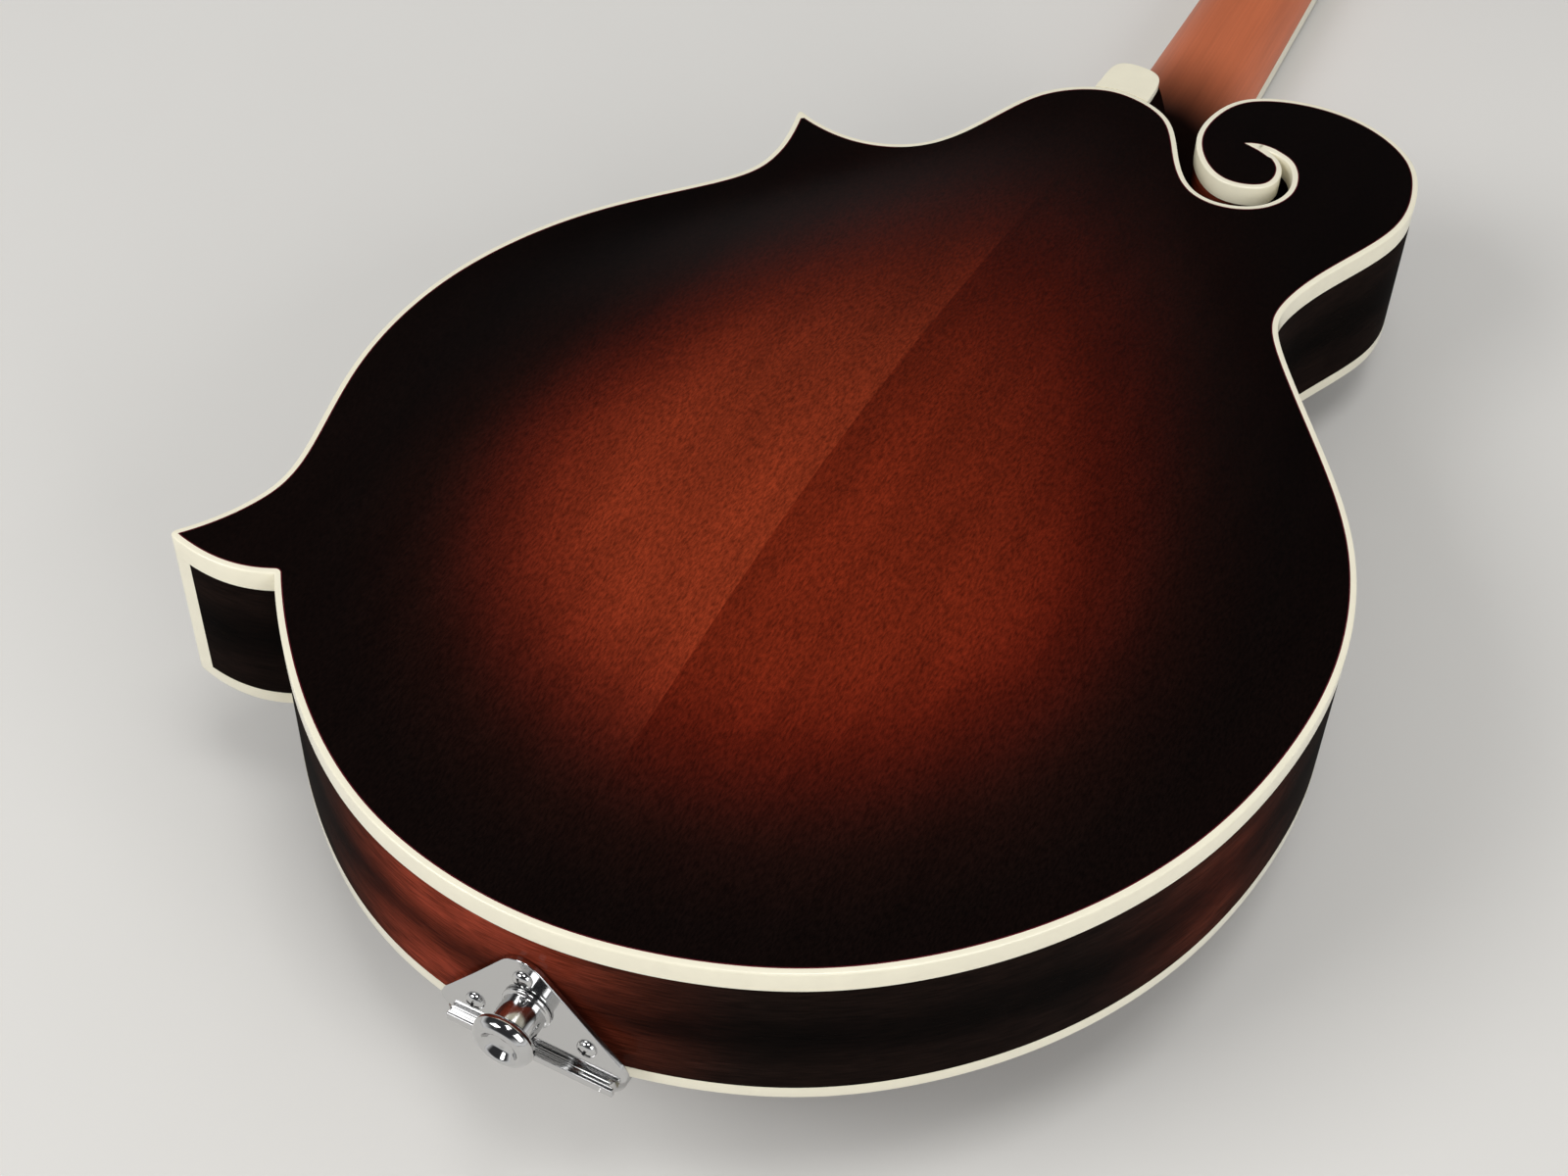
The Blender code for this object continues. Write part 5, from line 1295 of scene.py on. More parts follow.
@dataclass
class BodyShell:
    """Carved back and top, ribs, bindings and caps: all that shows of the hollow body."""

    pitch: float = 2.6                   # grid of the arched plates
    hole_pitch: float = 2.0
    back_binding: float = 6.0
    binding_round: float = 0.45
    stain_line: float = 0.26             # how far the bled stain reaches past the binding
    stain_proud: float = 0.015
    stain_deep: float = 0.6
    rib_thickness: float = 2.2
    cap_thickness: float = 2.2
    point_corner: Pairs = ((-132.6, 50.7), (-123.0, 47.5), (-122.4, 58.0), (-127.6, 63.6), (-132.6, 62.8))

    def build(self) -> None:
        """Builds every piece of the shell."""
        self.plates()
        self.bindings()
        self.ribs()
        self.heel_cap()

    @staticmethod
    def bound(depth: float) -> Loop:
        """The edge of what the binding surrounds, at a depth from the outline."""
        return horned(inset(BODY_OUTLINE, depth), depth)

    def plates(self) -> None:
        """The carved back and the carved top with its two sound holes."""
        edge = self.bound(BINDING_WIDTH + HAIRLINE)
        back = slab([edge], lambda x, y: BACK_ARCH * arch(x, y) - BACK_EDGE + PLATE_THINNING * arch(x, y),
                    lambda x, y: BACK_ARCH * arch(x, y), self.pitch)
        piece("carved_back", back, BODY, BACK_BURST, ["back_plate"])
        treble = round_curve(SOUND_HOLE, 6)
        bass = [Vector((-p.x, p.y)) for p in reversed(treble)]
        top = slab([edge, treble, bass], top_outer,
                   lambda x, y: top_outer(x, y) + TOP_EDGE - PLATE_THINNING * arch(x, y), self.hole_pitch)
        piece("carved_top", top, BODY, TOP_BURST, ["top_plate"])

    def bindings(self) -> None:
        """The cream strips round both edges, scraped round outside."""
        def outside(p: Vector, height: float) -> bool:
            """Whether a point is on the outer edge at a height."""
            return abs(p.z - height) < 0.1 and clearance(BODY_OUTLINE, np.array([p.xy]))[1][0] < 0.05

        inner = self.bound(BINDING_WIDTH)
        back = slab([BODY_OUTLINE, inner], -self.back_binding, 0.0)
        soften(back, self.binding_round, 3, lambda p: outside(p, 0.0))
        piece("back_binding_strip", back, BODY, CELLULOID, ["back_binding"])
        stained = [self.bound(BINDING_WIDTH + depth) for depth in (-0.02, self.stain_line)]
        piece("stain_line", slab(stained, -self.stain_deep, self.stain_proud), BODY, BLED_STAIN)
        top = slab([BODY_OUTLINE, inner], TOP_Z, TOP_Z + TOP_EDGE)
        soften(top, self.binding_round, 3, lambda p: outside(p, TOP_Z))
        piece("top_binding_strip", top, BODY, CELLULOID, ["top_binding"])

    def ribs(self) -> None:
        """The bent sides and the cream cap let into the end of the lower point."""
        low, high = TOP_Z + TOP_EDGE + HAIRLINE, -self.back_binding - HAIRLINE
        corner = [Vector(p) for p in self.point_corner]
        ring = slab([inset(BODY_OUTLINE, 0.06), inset(BODY_OUTLINE, self.rib_thickness)], low, high)
        piece("bent_ribs", carved(ring, slab([corner], low - 1.0, high + 1.0)), BODY, RIB_BURST, ["rib"])
        cap = carved(slab([BODY_OUTLINE], low, high), slab([corner], low - 1.0, high + 1.0), Cut.COMMON)
        piece("point_cap", cap, BODY, CELLULOID, ["lower_point_cap"])

    def heel_cap(self) -> None:
        """The cream cap that is flush with the back over the heel."""
        cap = slab([bspline(HEEL_CAP, 8)], -self.cap_thickness, 0.0)
        body = slab([inset(BODY_OUTLINE, -HAIRLINE)], -3.0, 1.0)
        piece("cap_on_heel", soften(carved(cap, body), 0.3, 3, lambda p: p.z > -0.1 and p.y > 329.0), BODY,
              CELLULOID, ["heel_cap"], weighted=True)


@dataclass
class Neck:
    """Neck, heel and headstock in one piece of maple, with the headstock's face and the rod's cover."""

    depth_nut: float = 15.0
    depth_joint: float = 17.0
    groove: float = 7.2
    groove_half: float = 3.2
    heel_reach: float = 40.0
    heel_rows: Pairs = (                 # place in the body frame, half the flat
        (324.0, 7.7), (328.0, 7.7), (332.0, 7.6), (335.0, 7.3), (337.0, 6.6), (338.5, 5.4), (339.6, 3.4),
        (HEEL_TIP_Y, 1.6))
    flat: float = 1.5
    cutaway_gap: float = 0.08
    head_round: float = 1.4
    post_hole: float = 3.5
    rod_pocket: tuple[float, float, float, float] = (-3.6, 3.6, -4.5, 20.0)
    bell: Pairs = (
        (7.6, 3.6), (7.5, 8.0), (6.2, 15.0), (5.6, 22.0), (3.6, 27.6), (0.0, 29.2), (-3.6, 27.6), (-5.6, 22.0),
        (-6.2, 15.0), (-7.5, 8.0), (-7.6, 3.6), (-4.0, 3.2), (4.0, 3.2))
    cover_thickness: float = 1.5

    def section(self, y: float, depth: float, flat: float, keel: float, half: float | None = None,
                groove: float | None = None) -> Loop:
        """One section of the neck.

        Args:
            y: Its station.
            depth: How far it goes behind the neck's face.
            flat: Half the width of its flat crown.
            keel: Its shape, from a round shaft at 0 to a heel at 1.
            half: Half its width, if not the board's.
            groove: The depth of the rod's groove, if not the usual one.

        Returns:
            The ring of its points.
        """
        half = board_half(y) if half is None else half
        power, root = 2.0 - keel, 2.0 - 0.6 * keel
        shares = [math.sin(0.5 * math.pi * k / 15) for k in range(16)]
        side = [(flat + (half - flat) * (1.0 - u ** power) ** (1.0 / root), NECK_FACE + depth * u) for u in shares]
        roof, slot = NECK_FACE + (self.groove if groove is None else groove), self.groove_half
        right = [Vector((x, y, z)) for x, z in side]
        channel = [Vector((x, y, z)) for x, z in ((-slot, NECK_FACE), (-slot, roof), (slot, roof), (slot, NECK_FACE))]
        return right + [Vector((-p.x, y, p.z)) for p in reversed(right)] + channel

    def shaft_depth(self, y: float) -> float:
        """Depth of the round shaft behind the board at a station."""
        return self.depth_nut + (self.depth_joint - self.depth_nut) * y / JOINT_Y

    def sections(self) -> list[Loop]:
        """All sections of the neck.

        Returns:
            Their rings, from the block under the board's end to the foot of the headstock.
        """
        seat = -BodyShell.cap_thickness - HAIRLINE

        def at(body_y: float) -> float:
            """The station of a place on the body's middle line."""
            return (BODY_TO_NECK @ Vector((0.0, body_y, 0.0))).y

        low_cap = (BODY_TO_NECK @ Vector((0.0, 326.0, seat))).z
        high_cap = (BODY_TO_NECK @ Vector((0.0, 340.0, seat))).z

        def heel_depth(y: float) -> float:
            """The depth of the heel under its cap."""
            share = (y - at(327.0)) / (at(340.0) - at(327.0))
            return low_cap + (high_cap - low_cap) * share - NECK_FACE

        heel_start, start = at(324.0), at(HEEL_TIP_Y)
        rows = [self.section(y, 34.0, board_half(y) - 0.4, 0.0, board_half(y) - 0.1, 0.4)
                for y in (BOARD_END + 1.6, 0.5 * (BOARD_END + heel_start), heel_start - 8.0)]
        rows += [self.section(at(body_y), heel_depth(at(body_y)), flat, 1.0) for body_y, flat in self.heel_rows]
        full = heel_depth(start)
        for k in range(1, 29):
            t = math.cos(0.5 * math.pi * k / 28)
            y = start + self.heel_reach * (1.0 - t)
            depth = self.shaft_depth(y) + (full - self.shaft_depth(y)) * (1.0 - (1.0 - t ** 2.0) ** 0.5)
            rows.append(self.section(y, depth, self.flat, t))
        rows += [self.section(y, self.shaft_depth(y), self.flat, 0.0) for y in range(-140, -20, 12)]
        for share in (k / 8 for k in range(9)):
            rows.append(self.section(-22.0 + 27.0 * share, self.depth_nut - 2.6 * share ** 1.6, self.flat, 0.0))
        return rows

    def build(self) -> None:
        """Builds the neck and what is glued to the headstock."""
        neck = carved(loft(self.sections()), self.cutaway())
        holes = [circle(self.post_hole, 32, (side * POST_ROW_X, y)) for side in SIDES.values() for y in POST_ROWS]
        outline = thin(bspline(HEAD_OUTLINE), 0.01, 2.5)
        head = soften(slab([outline, *holes], 0.0, HEAD_THICKNESS), self.head_round, 4,
                      lambda p: p.z > HEAD_THICKNESS - 0.1 and p.y > 7.0
                      and min(math.hypot(abs(p.x) - POST_ROW_X, p.y - y) for y in POST_ROWS) > 4.0)
        neck = carved(neck, moved(head, HEAD_TO_NECK), Cut.ADD)
        neck = carved(neck, moved(block(*self.rod_pocket, -6.0, 6.4), HEAD_TO_NECK))
        piece("neck_and_headstock", neck, NECK, NECK_STAIN, ["neck"], weighted=True)
        self.face(outline, holes)

    def cutaway(self) -> Mesh:
        """The body's shape, which the neck's block and heel are fitted over.

        Returns:
            The bmesh, in the neck frame.
        """
        clear = inset(BODY_OUTLINE, -self.cutaway_gap)
        near = [p for p in clear if p.y > 255.0 and -60.0 < p.x < 24.0]
        shell = [Vector((24.0, 250.0))] + near + [Vector((-60.0, 250.0))]
        cut = slab([shell], lambda x, y: top_outer(x, y) - self.cutaway_gap, 30.0, 5.0)
        return moved(cut, BODY_TO_NECK)

    def face(self, outline: Loop, holes: Sequence[Loop]) -> None:
        """The black face of the headstock and the bell-shaped cover with its two screws.

        Args:
            outline: The headstock's edge.
            holes: The posts' holes.
        """
        rim = inset(outline, 0.1)
        edge = [p for p in rim if p.y > 0.7]
        turn = max(range(len(edge)), key=lambda i: (edge[i] - edge[i - 1]).length)
        edge = edge[turn:] + edge[:turn]
        left, right, _, tip = self.rod_pocket
        window = box_loop(left, right, 1.4, tip)
        veneer = slab([edge, window, *holes], -SEAM - VENEER, -HAIRLINE)
        soften(veneer, 0.3, 2, lambda p: p.z < -SEAM - VENEER + 0.1)
        piece("headstock_face", veneer, HEAD, BLACK_FACE, ["headstock_veneer"], weighted=True)
        under = -SEAM - VENEER - HAIRLINE
        low = under - self.cover_thickness
        plate = soften(slab([round_curve(self.bell)], low, under), 0.35, 3, lambda p: p.z < low + 0.1)
        piece("rod_cover", plate, HEAD, BLACK_FACE, ["truss_rod_cover"], weighted=True)
        flip = Matrix.Rotation(math.pi, 4, "X")
        heads = [moved(cross_screw(1.5, 0.5), Matrix.Translation((0.0, y, low)) @ flip) for y in (6.6, 25.0)]
        piece("rod_cover_screws", joined(heads), HEAD, CHROME)


@dataclass
class Fretboard:
    """Ebony board with nickel-silver frets, shell dots and cream edging, and the bone nut."""

    edging: float = 1.5
    fret_half: float = 0.9
    fret_height: float = 1.0
    dot_radius: float = 2.4
    dot_frets: tuple[int, ...] = (5, 7, 10, 12, 15)

    def build(self) -> None:
        """Builds the board and the nut."""
        reach = self.edging + HAIRLINE
        low_end = BOARD_END + reach
        half = board_half
        board = [(reach - half(low_end), low_end), (half(low_end) - reach, low_end), (half(0) - reach, -HAIRLINE),
                 (reach - half(0), -HAIRLINE)]
        piece("ebony_board", slab([board], BOARD_FACE, BOARD_BACK), NECK, EBONY, ["fingerboard"], weighted=True)
        outer = [(-half(BOARD_END), BOARD_END), (half(BOARD_END), BOARD_END), (half(0), -HAIRLINE),
                 (-half(0), -HAIRLINE)]
        edge = slab([outer], BOARD_FACE, BOARD_BACK)
        inner = [(board[0][0] - HAIRLINE, low_end - HAIRLINE), (board[1][0] + HAIRLINE, low_end - HAIRLINE),
                 (half(4) - reach + HAIRLINE, 4.0), (reach - half(4) - HAIRLINE, 4.0)]
        edge = carved(edge, slab([inner], BOARD_FACE - 1.0, BOARD_BACK + 1.0))
        soften(edge, 0.25, 2, lambda p: p.z < BOARD_FACE + 0.1, 60.0)
        piece("board_edging", edge, NECK, CELLULOID, ["fingerboard_binding"], weighted=True)
        self.frets()
        self.dots()
        self.nut()

    def frets(self) -> None:
        """Crowned wires across the board, bevelled at their ends."""
        rows = []
        crown = [Vector((self.fret_half * math.cos(a), self.fret_height * math.sin(a) ** 0.8))
                 for a in (math.pi * k / 12 for k in range(13))]
        for y in (fret_place(n) for n in range(1, FRETS + 1)):
            reach = board_half(y) - 0.35
            stations = ((-reach, 0.25), (-reach + 0.35, 0.75), (-reach + 0.8, 1.0), (reach - 0.8, 1.0),
                        (reach - 0.35, 0.75), (reach, 0.25))
            rows.append(loft([[(x, y + p.x, BOARD_FACE - p.y * tall) for p in crown] for x, tall in stations]))
        piece("fret_wires", joined(rows), NECK, FRET_NICKEL)

    def dots(self) -> None:
        """Round shell markers under the strings, two at the octave."""
        discs = []
        profile = [(0, -0.02), (self.dot_radius, -0.02), (self.dot_radius, 0.3), (0, 0.3)]
        for n in self.dot_frets:
            for x in ((-7.0, 7.0) if n == 12 else (0.0,)):
                discs.append(moved(turned(profile), (x, 0.5 * (fret_place(n) + fret_place(n - 1)), BOARD_FACE)))
        piece("shell_dots", joined(discs), NECK, SHELL_DOT)

    def nut(self) -> None:
        """The bone nut with a slot for each string."""
        foot = NECK_FACE - HAIRLINE
        crest = [(-13.6, 0.3)]
        for x, wide in zip(STRING_AT_NUT, STRING_DIAMETERS):
            arc = [(x + 0.5 * wide * math.cos(a) * 1.05, wide * (0.5 - 0.5 * math.sin(a)) * 1.02 + 0.02)
                   for a in (math.pi * (1.0 + k / 8) for k in range(9))]
            crest += [(x - 0.53 * wide, 0.3), *arc, (x + 0.53 * wide, 0.3)]
        loop = [(-14.1, foot), (-14.3, 1.6), (-14.1, 0.7), *crest, (13.6, 0.3), (14.1, 0.7), (14.3, 1.6), (14.1, foot)]
        place = plane_frame(NECK, (0.0, NUT_LENGTH, 0.0))
        nut = slab([loop[::-1]], 0.0, NUT_LENGTH - HAIRLINE)
        piece("bone_nut", nut, place, BONE, ["nut"], weighted=True)


@dataclass
class TuningMachines:
    """Two machine plates with their posts, gears, worms and buttons."""

    plate: float = 1.0
    gear_radius: float = 5.3
    gear_length: float = 3.6
    teeth: int = 12
    worm_radius: float = 2.5
    worm_gap: float = 0.25
    worm_turns: float = 4.5
    worm_up: float = 3.4                 # the worms' axes over the plates
    span: Pair = (12.6, 27.6)
    ears: Pair = (13.1, 25.1)
    ear_thickness: float = 2.0
    screw_x: float = 23.0
    screw_inset: float = 2.6
    knob_foot: float = 33.5
    knob_half: Triple = (3.3, 8.5, 6.65)     # half its thickness, width and length

    @property
    def rear(self) -> float:
        """Height of the plates' seat on the headstock's rear."""
        return HEAD_THICKNESS + HAIRLINE

    @property
    def worm_z(self) -> float:
        """Height of the worms' axes."""
        return HEAD_THICKNESS + SEAM + self.plate + self.worm_up

    @property
    def worm_off(self) -> float:
        """How far each worm lies past its post, towards the headstock's tip."""
        return self.gear_radius + self.worm_radius + self.worm_gap

    def build(self) -> None:
        """Builds both sides."""
        for side, sign in SIDES.items():
            self.base(side, sign)
            for k, y in enumerate(POST_ROWS):
                self.post(side, k + 1, sign * POST_ROW_X, y)
                self.worm(side, k + 1, sign, y + self.worm_off)

    def base(self, side: str, sign: float) -> None:
        """The stamped plate with the lugs that carry the worms, and its five small screws.

        Args:
            side: The name of its side.
            sign: Which way that side lies from the middle.
        """
        low, high = POST_ROWS[0] - 9.5, POST_ROWS[-1] + 15.5
        x0, x1 = sorted(sign * x for x in self.span)
        holes = [circle(3.35, 32, (sign * POST_ROW_X, y)) for y in POST_ROWS]
        flat = soften(slab([softened(box_loop(x0, x1, low, high), 2.4), *holes], self.rear, self.rear + self.plate),
                      0.25, 2, lambda p: p.z > self.rear + 0.5)
        lug_frame = plane_frame(Matrix(), (0, 0, 0), (0, 1, 0))
        parts = [flat]
        for y in POST_ROWS:
            centre, seat = y + self.worm_off, self.rear + self.plate - 0.1
            ear = softened([(centre - 3.4, seat), (centre + 3.4, seat), (centre + 2.2, self.worm_z + 2.8),
                            (centre - 2.2, self.worm_z + 2.8)], 2.0)
            eye = circle(1.6, 24, (centre, self.worm_z))
            for where in self.ears:
                a, b = sorted((sign * where, sign * (where + self.ear_thickness)))
                parts.append(moved(soften(slab([ear, eye], a, b), 0.2, 2), lug_frame))
        between = [0.5 * (a + b) - 4.0 for a, b in zip(POST_ROWS, POST_ROWS[1:])]
        for y in (low + self.screw_inset, *between, high - self.screw_inset):
            parts.append(moved(cross_screw(1.6, 0.8), (sign * self.screw_x, y, self.rear + self.plate)))
        piece("machine_plate_" + side, joined(parts), HEAD, CHROME, ["tuner_plate_" + side], weighted=True)

    def post(self, side: str, number: int, x: float, y: float) -> None:
        """A slim post, waisted where the string winds, with its gear and the gear's screw.

        Args:
            side: The name of its side.
            number: Its number there, from the nut.
            x: Its place across the headstock.
            y: Its place along it.
        """
        tip = -SEAM - VENEER - POST_OUT
        low = self.worm_z - 0.5 * self.gear_length
        line = filleted([(0.0, tip + 0.25), (1.6, tip), (2.8, tip + 0.5), (2.8, tip + 3.0), (POST_WAIST, tip + 3.8),
                         (POST_WAIST, tip + 7.4), (3.0, tip + 8.4), (3.0, low + 0.2), (0.0, low + 0.2)], 0.4)
        across = Matrix.Translation((0.0, 0.0, tip + 5.6)) @ Matrix.Rotation(0.5 * math.pi, 4, "Y")
        barrel = carved(turned(line), moved(turned([(0, -4), (0.7, -4), (0.7, 4), (0, 4)], 16), across))
        tooth = ((0.0, 4.4), (0.22, 4.4), (0.36, 5.25), (0.5, self.gear_radius), (0.64, 5.25), (0.78, 4.4))
        rim = [(radius * math.cos(angle), radius * math.sin(angle)) for radius, angle in (
            (radius, 2 * math.pi * (k + share) / self.teeth) for k in range(self.teeth) for share, radius in tooth)]
        gear = soften(slab([rim], low, low + self.gear_length), 0.2, 2)
        cap = moved(cross_screw(2.0, 1.0), (0.0, 0.0, low + self.gear_length))
        node = "post_%s_%d" % (side, number)
        piece("string_" + node, moved(joined([barrel, gear, cap]), (x, y, 0.0)), HEAD, CHROME, [node], node,
              weighted=True)

    def worm(self, side: str, number: int, sign: float, y: float) -> None:
        """A worm on its shaft, and the oval button on its end.

        Args:
            side: The name of its side.
            number: Its number there, from the nut.
            sign: Which way that side lies from the middle.
            y: Its place along the headstock.
        """
        place = plane_frame(HEAD, (0.0, y, self.worm_z), (0, 0, 1), (0, -sign, 0))
        body = "button_%s_%d" % (side, number)
        shaft = turned(filleted([(0.0, 11.8), (1.4, 11.8), (1.4, 15.2), (1.9, 15.8), (1.9, 24.2), (1.4, 24.8),
                                 (1.4, 31.2), (2.5, 32.0), (2.5, 33.6), (0.0, 33.6)], 0.25), 28)
        thread = [(2.0 * math.cos(a), 2.0 * math.sin(a), 16.1 + 7.8 * k / 90)
                  for k, a in ((k, 2 * math.pi * self.worm_turns * k / 90) for k in range(91))]
        piece("worm_" + body, joined([shaft, wire(thread, 0.45, 2)]), place, CHROME, ["worm_" + body], body)
        rings = []
        half_thick, half_wide, half_long = self.knob_half
        for k in range(17):
            t = math.pi * k / 16
            z = self.knob_foot + half_long * (1.0 - math.cos(t))
            least = 0.30 if k < 9 else 0.02
            swell = least + (1.0 - least) * math.sin(t) ** 0.62
            thick, wide = half_thick * swell, half_wide * swell * (1.0 - 0.12 * math.sin(t) ** 2 * (k < 9))
            rings.append([(thick * p.x, wide * p.y, z) for p in circle(1.0, 36)])
        piece("knob_" + body, loft(rings), place, BUTTON_PEARL, [], body)


@dataclass
class Bridge:
    """Two-piece ebony bridge that two knurled wheels raise and lower."""

    stud_x: float = 29.0
    stud_radius: float = 1.6
    stud_tip: float = 5.2
    saddle_foot: float = 7.15
    saddle_half: float = 3.0
    travel: float = 1.5
    wheel: float = 2.4
    wheel_radius: float = 6.6
    knurls: int = 36
    thread_pitch: float = 0.35           # drawn, in pairs of a crest and a root
    stations: Pairs = (                  # of the base: the place and half the width there
        (0.0, 5.5), (9.5, 5.5), (22.0, 5.5), (36.0, 5.5), (46.0, 5.0), (53.0, 3.6), (55.0, 2.6))

    def build(self) -> None:
        """Builds the base, the saddle, the studs and the wheels."""
        self.base()
        self.saddle()
        for side, sign in SIDES.items():
            x = sign * self.stud_x
            place = plane_frame(NECK, (x, -SCALE_LENGTH, 0.0), (1, 0, 0), (0, 1, 0))
            end = self.top_surface(x, -SCALE_LENGTH) - 1.2
            thread = [(self.stud_radius - 0.12 * (k % 2), self.stud_tip + 0.4 + self.thread_pitch * k)
                      for k in range(int((end - self.stud_tip - 0.4) / self.thread_pitch))]
            stud = turned([(0.0, self.stud_tip), (self.stud_radius - 0.4, self.stud_tip), *thread,
                           (self.stud_radius, end), (0.0, end)], 28)
            piece("threaded_stud_" + side, stud, place, CHROME, ["bridge_stud_" + side])
            low = self.saddle_foot + SEAM
            rim = [(r * math.cos(a), r * math.sin(a)) for r, a in (
                (self.wheel_radius - 0.3 * (k % 2), math.pi * k / self.knurls) for k in range(2 * self.knurls))]
            wheel = slab([rim, circle(self.stud_radius + 0.12, 28)], low, low + self.wheel)
            piece("knurled_wheel_" + side, soften(wheel, 0.18, 2, lambda p: p.xy.length > 3.0), place, CHROME,
                  ["thumbwheel_" + side], "wheel_" + side, sharp=25.0)

    @staticmethod
    def top_surface(x: float, y: float) -> float:
        """Where the top's outer face is in the neck frame.

        Args:
            x: The place across the neck frame.
            y: The place along it.

        Returns:
            Its height there.
        """
        z = 15.0
        for _ in range(4):
            p = NECK_TO_BODY @ Vector((x, y, z))
            z += (top_outer(p.x, p.y) - p.z) / math.cos(NECK_ANGLE)
        return z

    def base(self) -> None:
        """The base, fitted to the arch on two feet and tapered to its ends."""
        low = self.saddle_foot + SEAM + self.wheel + self.travel + 0.4
        rows = [(-x, half) for x, half in self.stations[:0:-1]] + list(self.stations)
        near = [Vector((x, -SCALE_LENGTH - half)) for x, half in rows]
        far = [Vector((x, -SCALE_LENGTH + half)) for x, half in rows[::-1]]
        holes = [circle(self.stud_radius + 0.1, 24, (s * self.stud_x, -SCALE_LENGTH)) for s in SIDES.values()]

        def foot(x: float, y: float) -> float:
            """The height of the underside, which is hollowed between the feet."""
            lifted = min(1.0, max(0.0, (11.0 - abs(x)) / 4.0))
            return self.top_surface(x, y) - HAIRLINE - 1.8 * lifted * lifted * (3.0 - 2.0 * lifted)

        base = slab([near + far, *holes], lambda x, y: low + max(0.0, abs(x) - 35.0) ** 1.3 * 0.105, foot, 1.6)
        soften(base, 0.7, 3, lambda p: p.z < low + 6.0 and abs(abs(p.y + SCALE_LENGTH) - 5.3) < 0.9, 60.0)
        piece("ebony_base", base, NECK, EBONY, ["bridge_base"])

    def saddle(self) -> None:
        """The slotted saddle, arched underneath between its wheels."""
        foot = self.saddle_foot
        crest = [(-24.0, 0.3)]
        for x, wide in zip(STRING_AT_BRIDGE, STRING_DIAMETERS):
            half, deep = 0.5 * wide + 0.1, wide + 0.05
            crest += [(x - half, 0.3), (x - half, 0.5 * wide), (x - 0.6 * half, deep), (x + 0.6 * half, deep),
                      (x + half, 0.5 * wide), (x + half, 0.3)]
        ends = [(24.0, 0.3), (30.0, 1.1), (33.6, 2.3), (35.4, 3.6), (36.0, 5.0), (36.0, foot), (21.5, foot),
                (19.0, foot - 0.9), (15.0, foot - 1.4)]
        rim = [*crest, *ends, *((-x, z) for x, z in ends[:0:-1])][::-1]
        place = plane_frame(NECK, (0.0, -SCALE_LENGTH, 0.0))
        saddle = slab([rim], -self.saddle_half, self.saddle_half)
        for sign in SIDES.values():
            bore = turned([(0, -4.0), (self.stud_radius + 0.2, -4.0), (self.stud_radius + 0.2, 4.0), (0, 4.0)], 28)
            end = self.stud_tip - self.travel - 0.3
            saddle = carved(saddle, moved(bore, Matrix.Translation((sign * self.stud_x, end + 4.0, 0.0))
                                          @ Matrix.Rotation(0.5 * math.pi, 4, "X")))
        piece("ebony_saddle", saddle, place, EBONY, ["bridge_saddle"], "saddle", weighted=True)


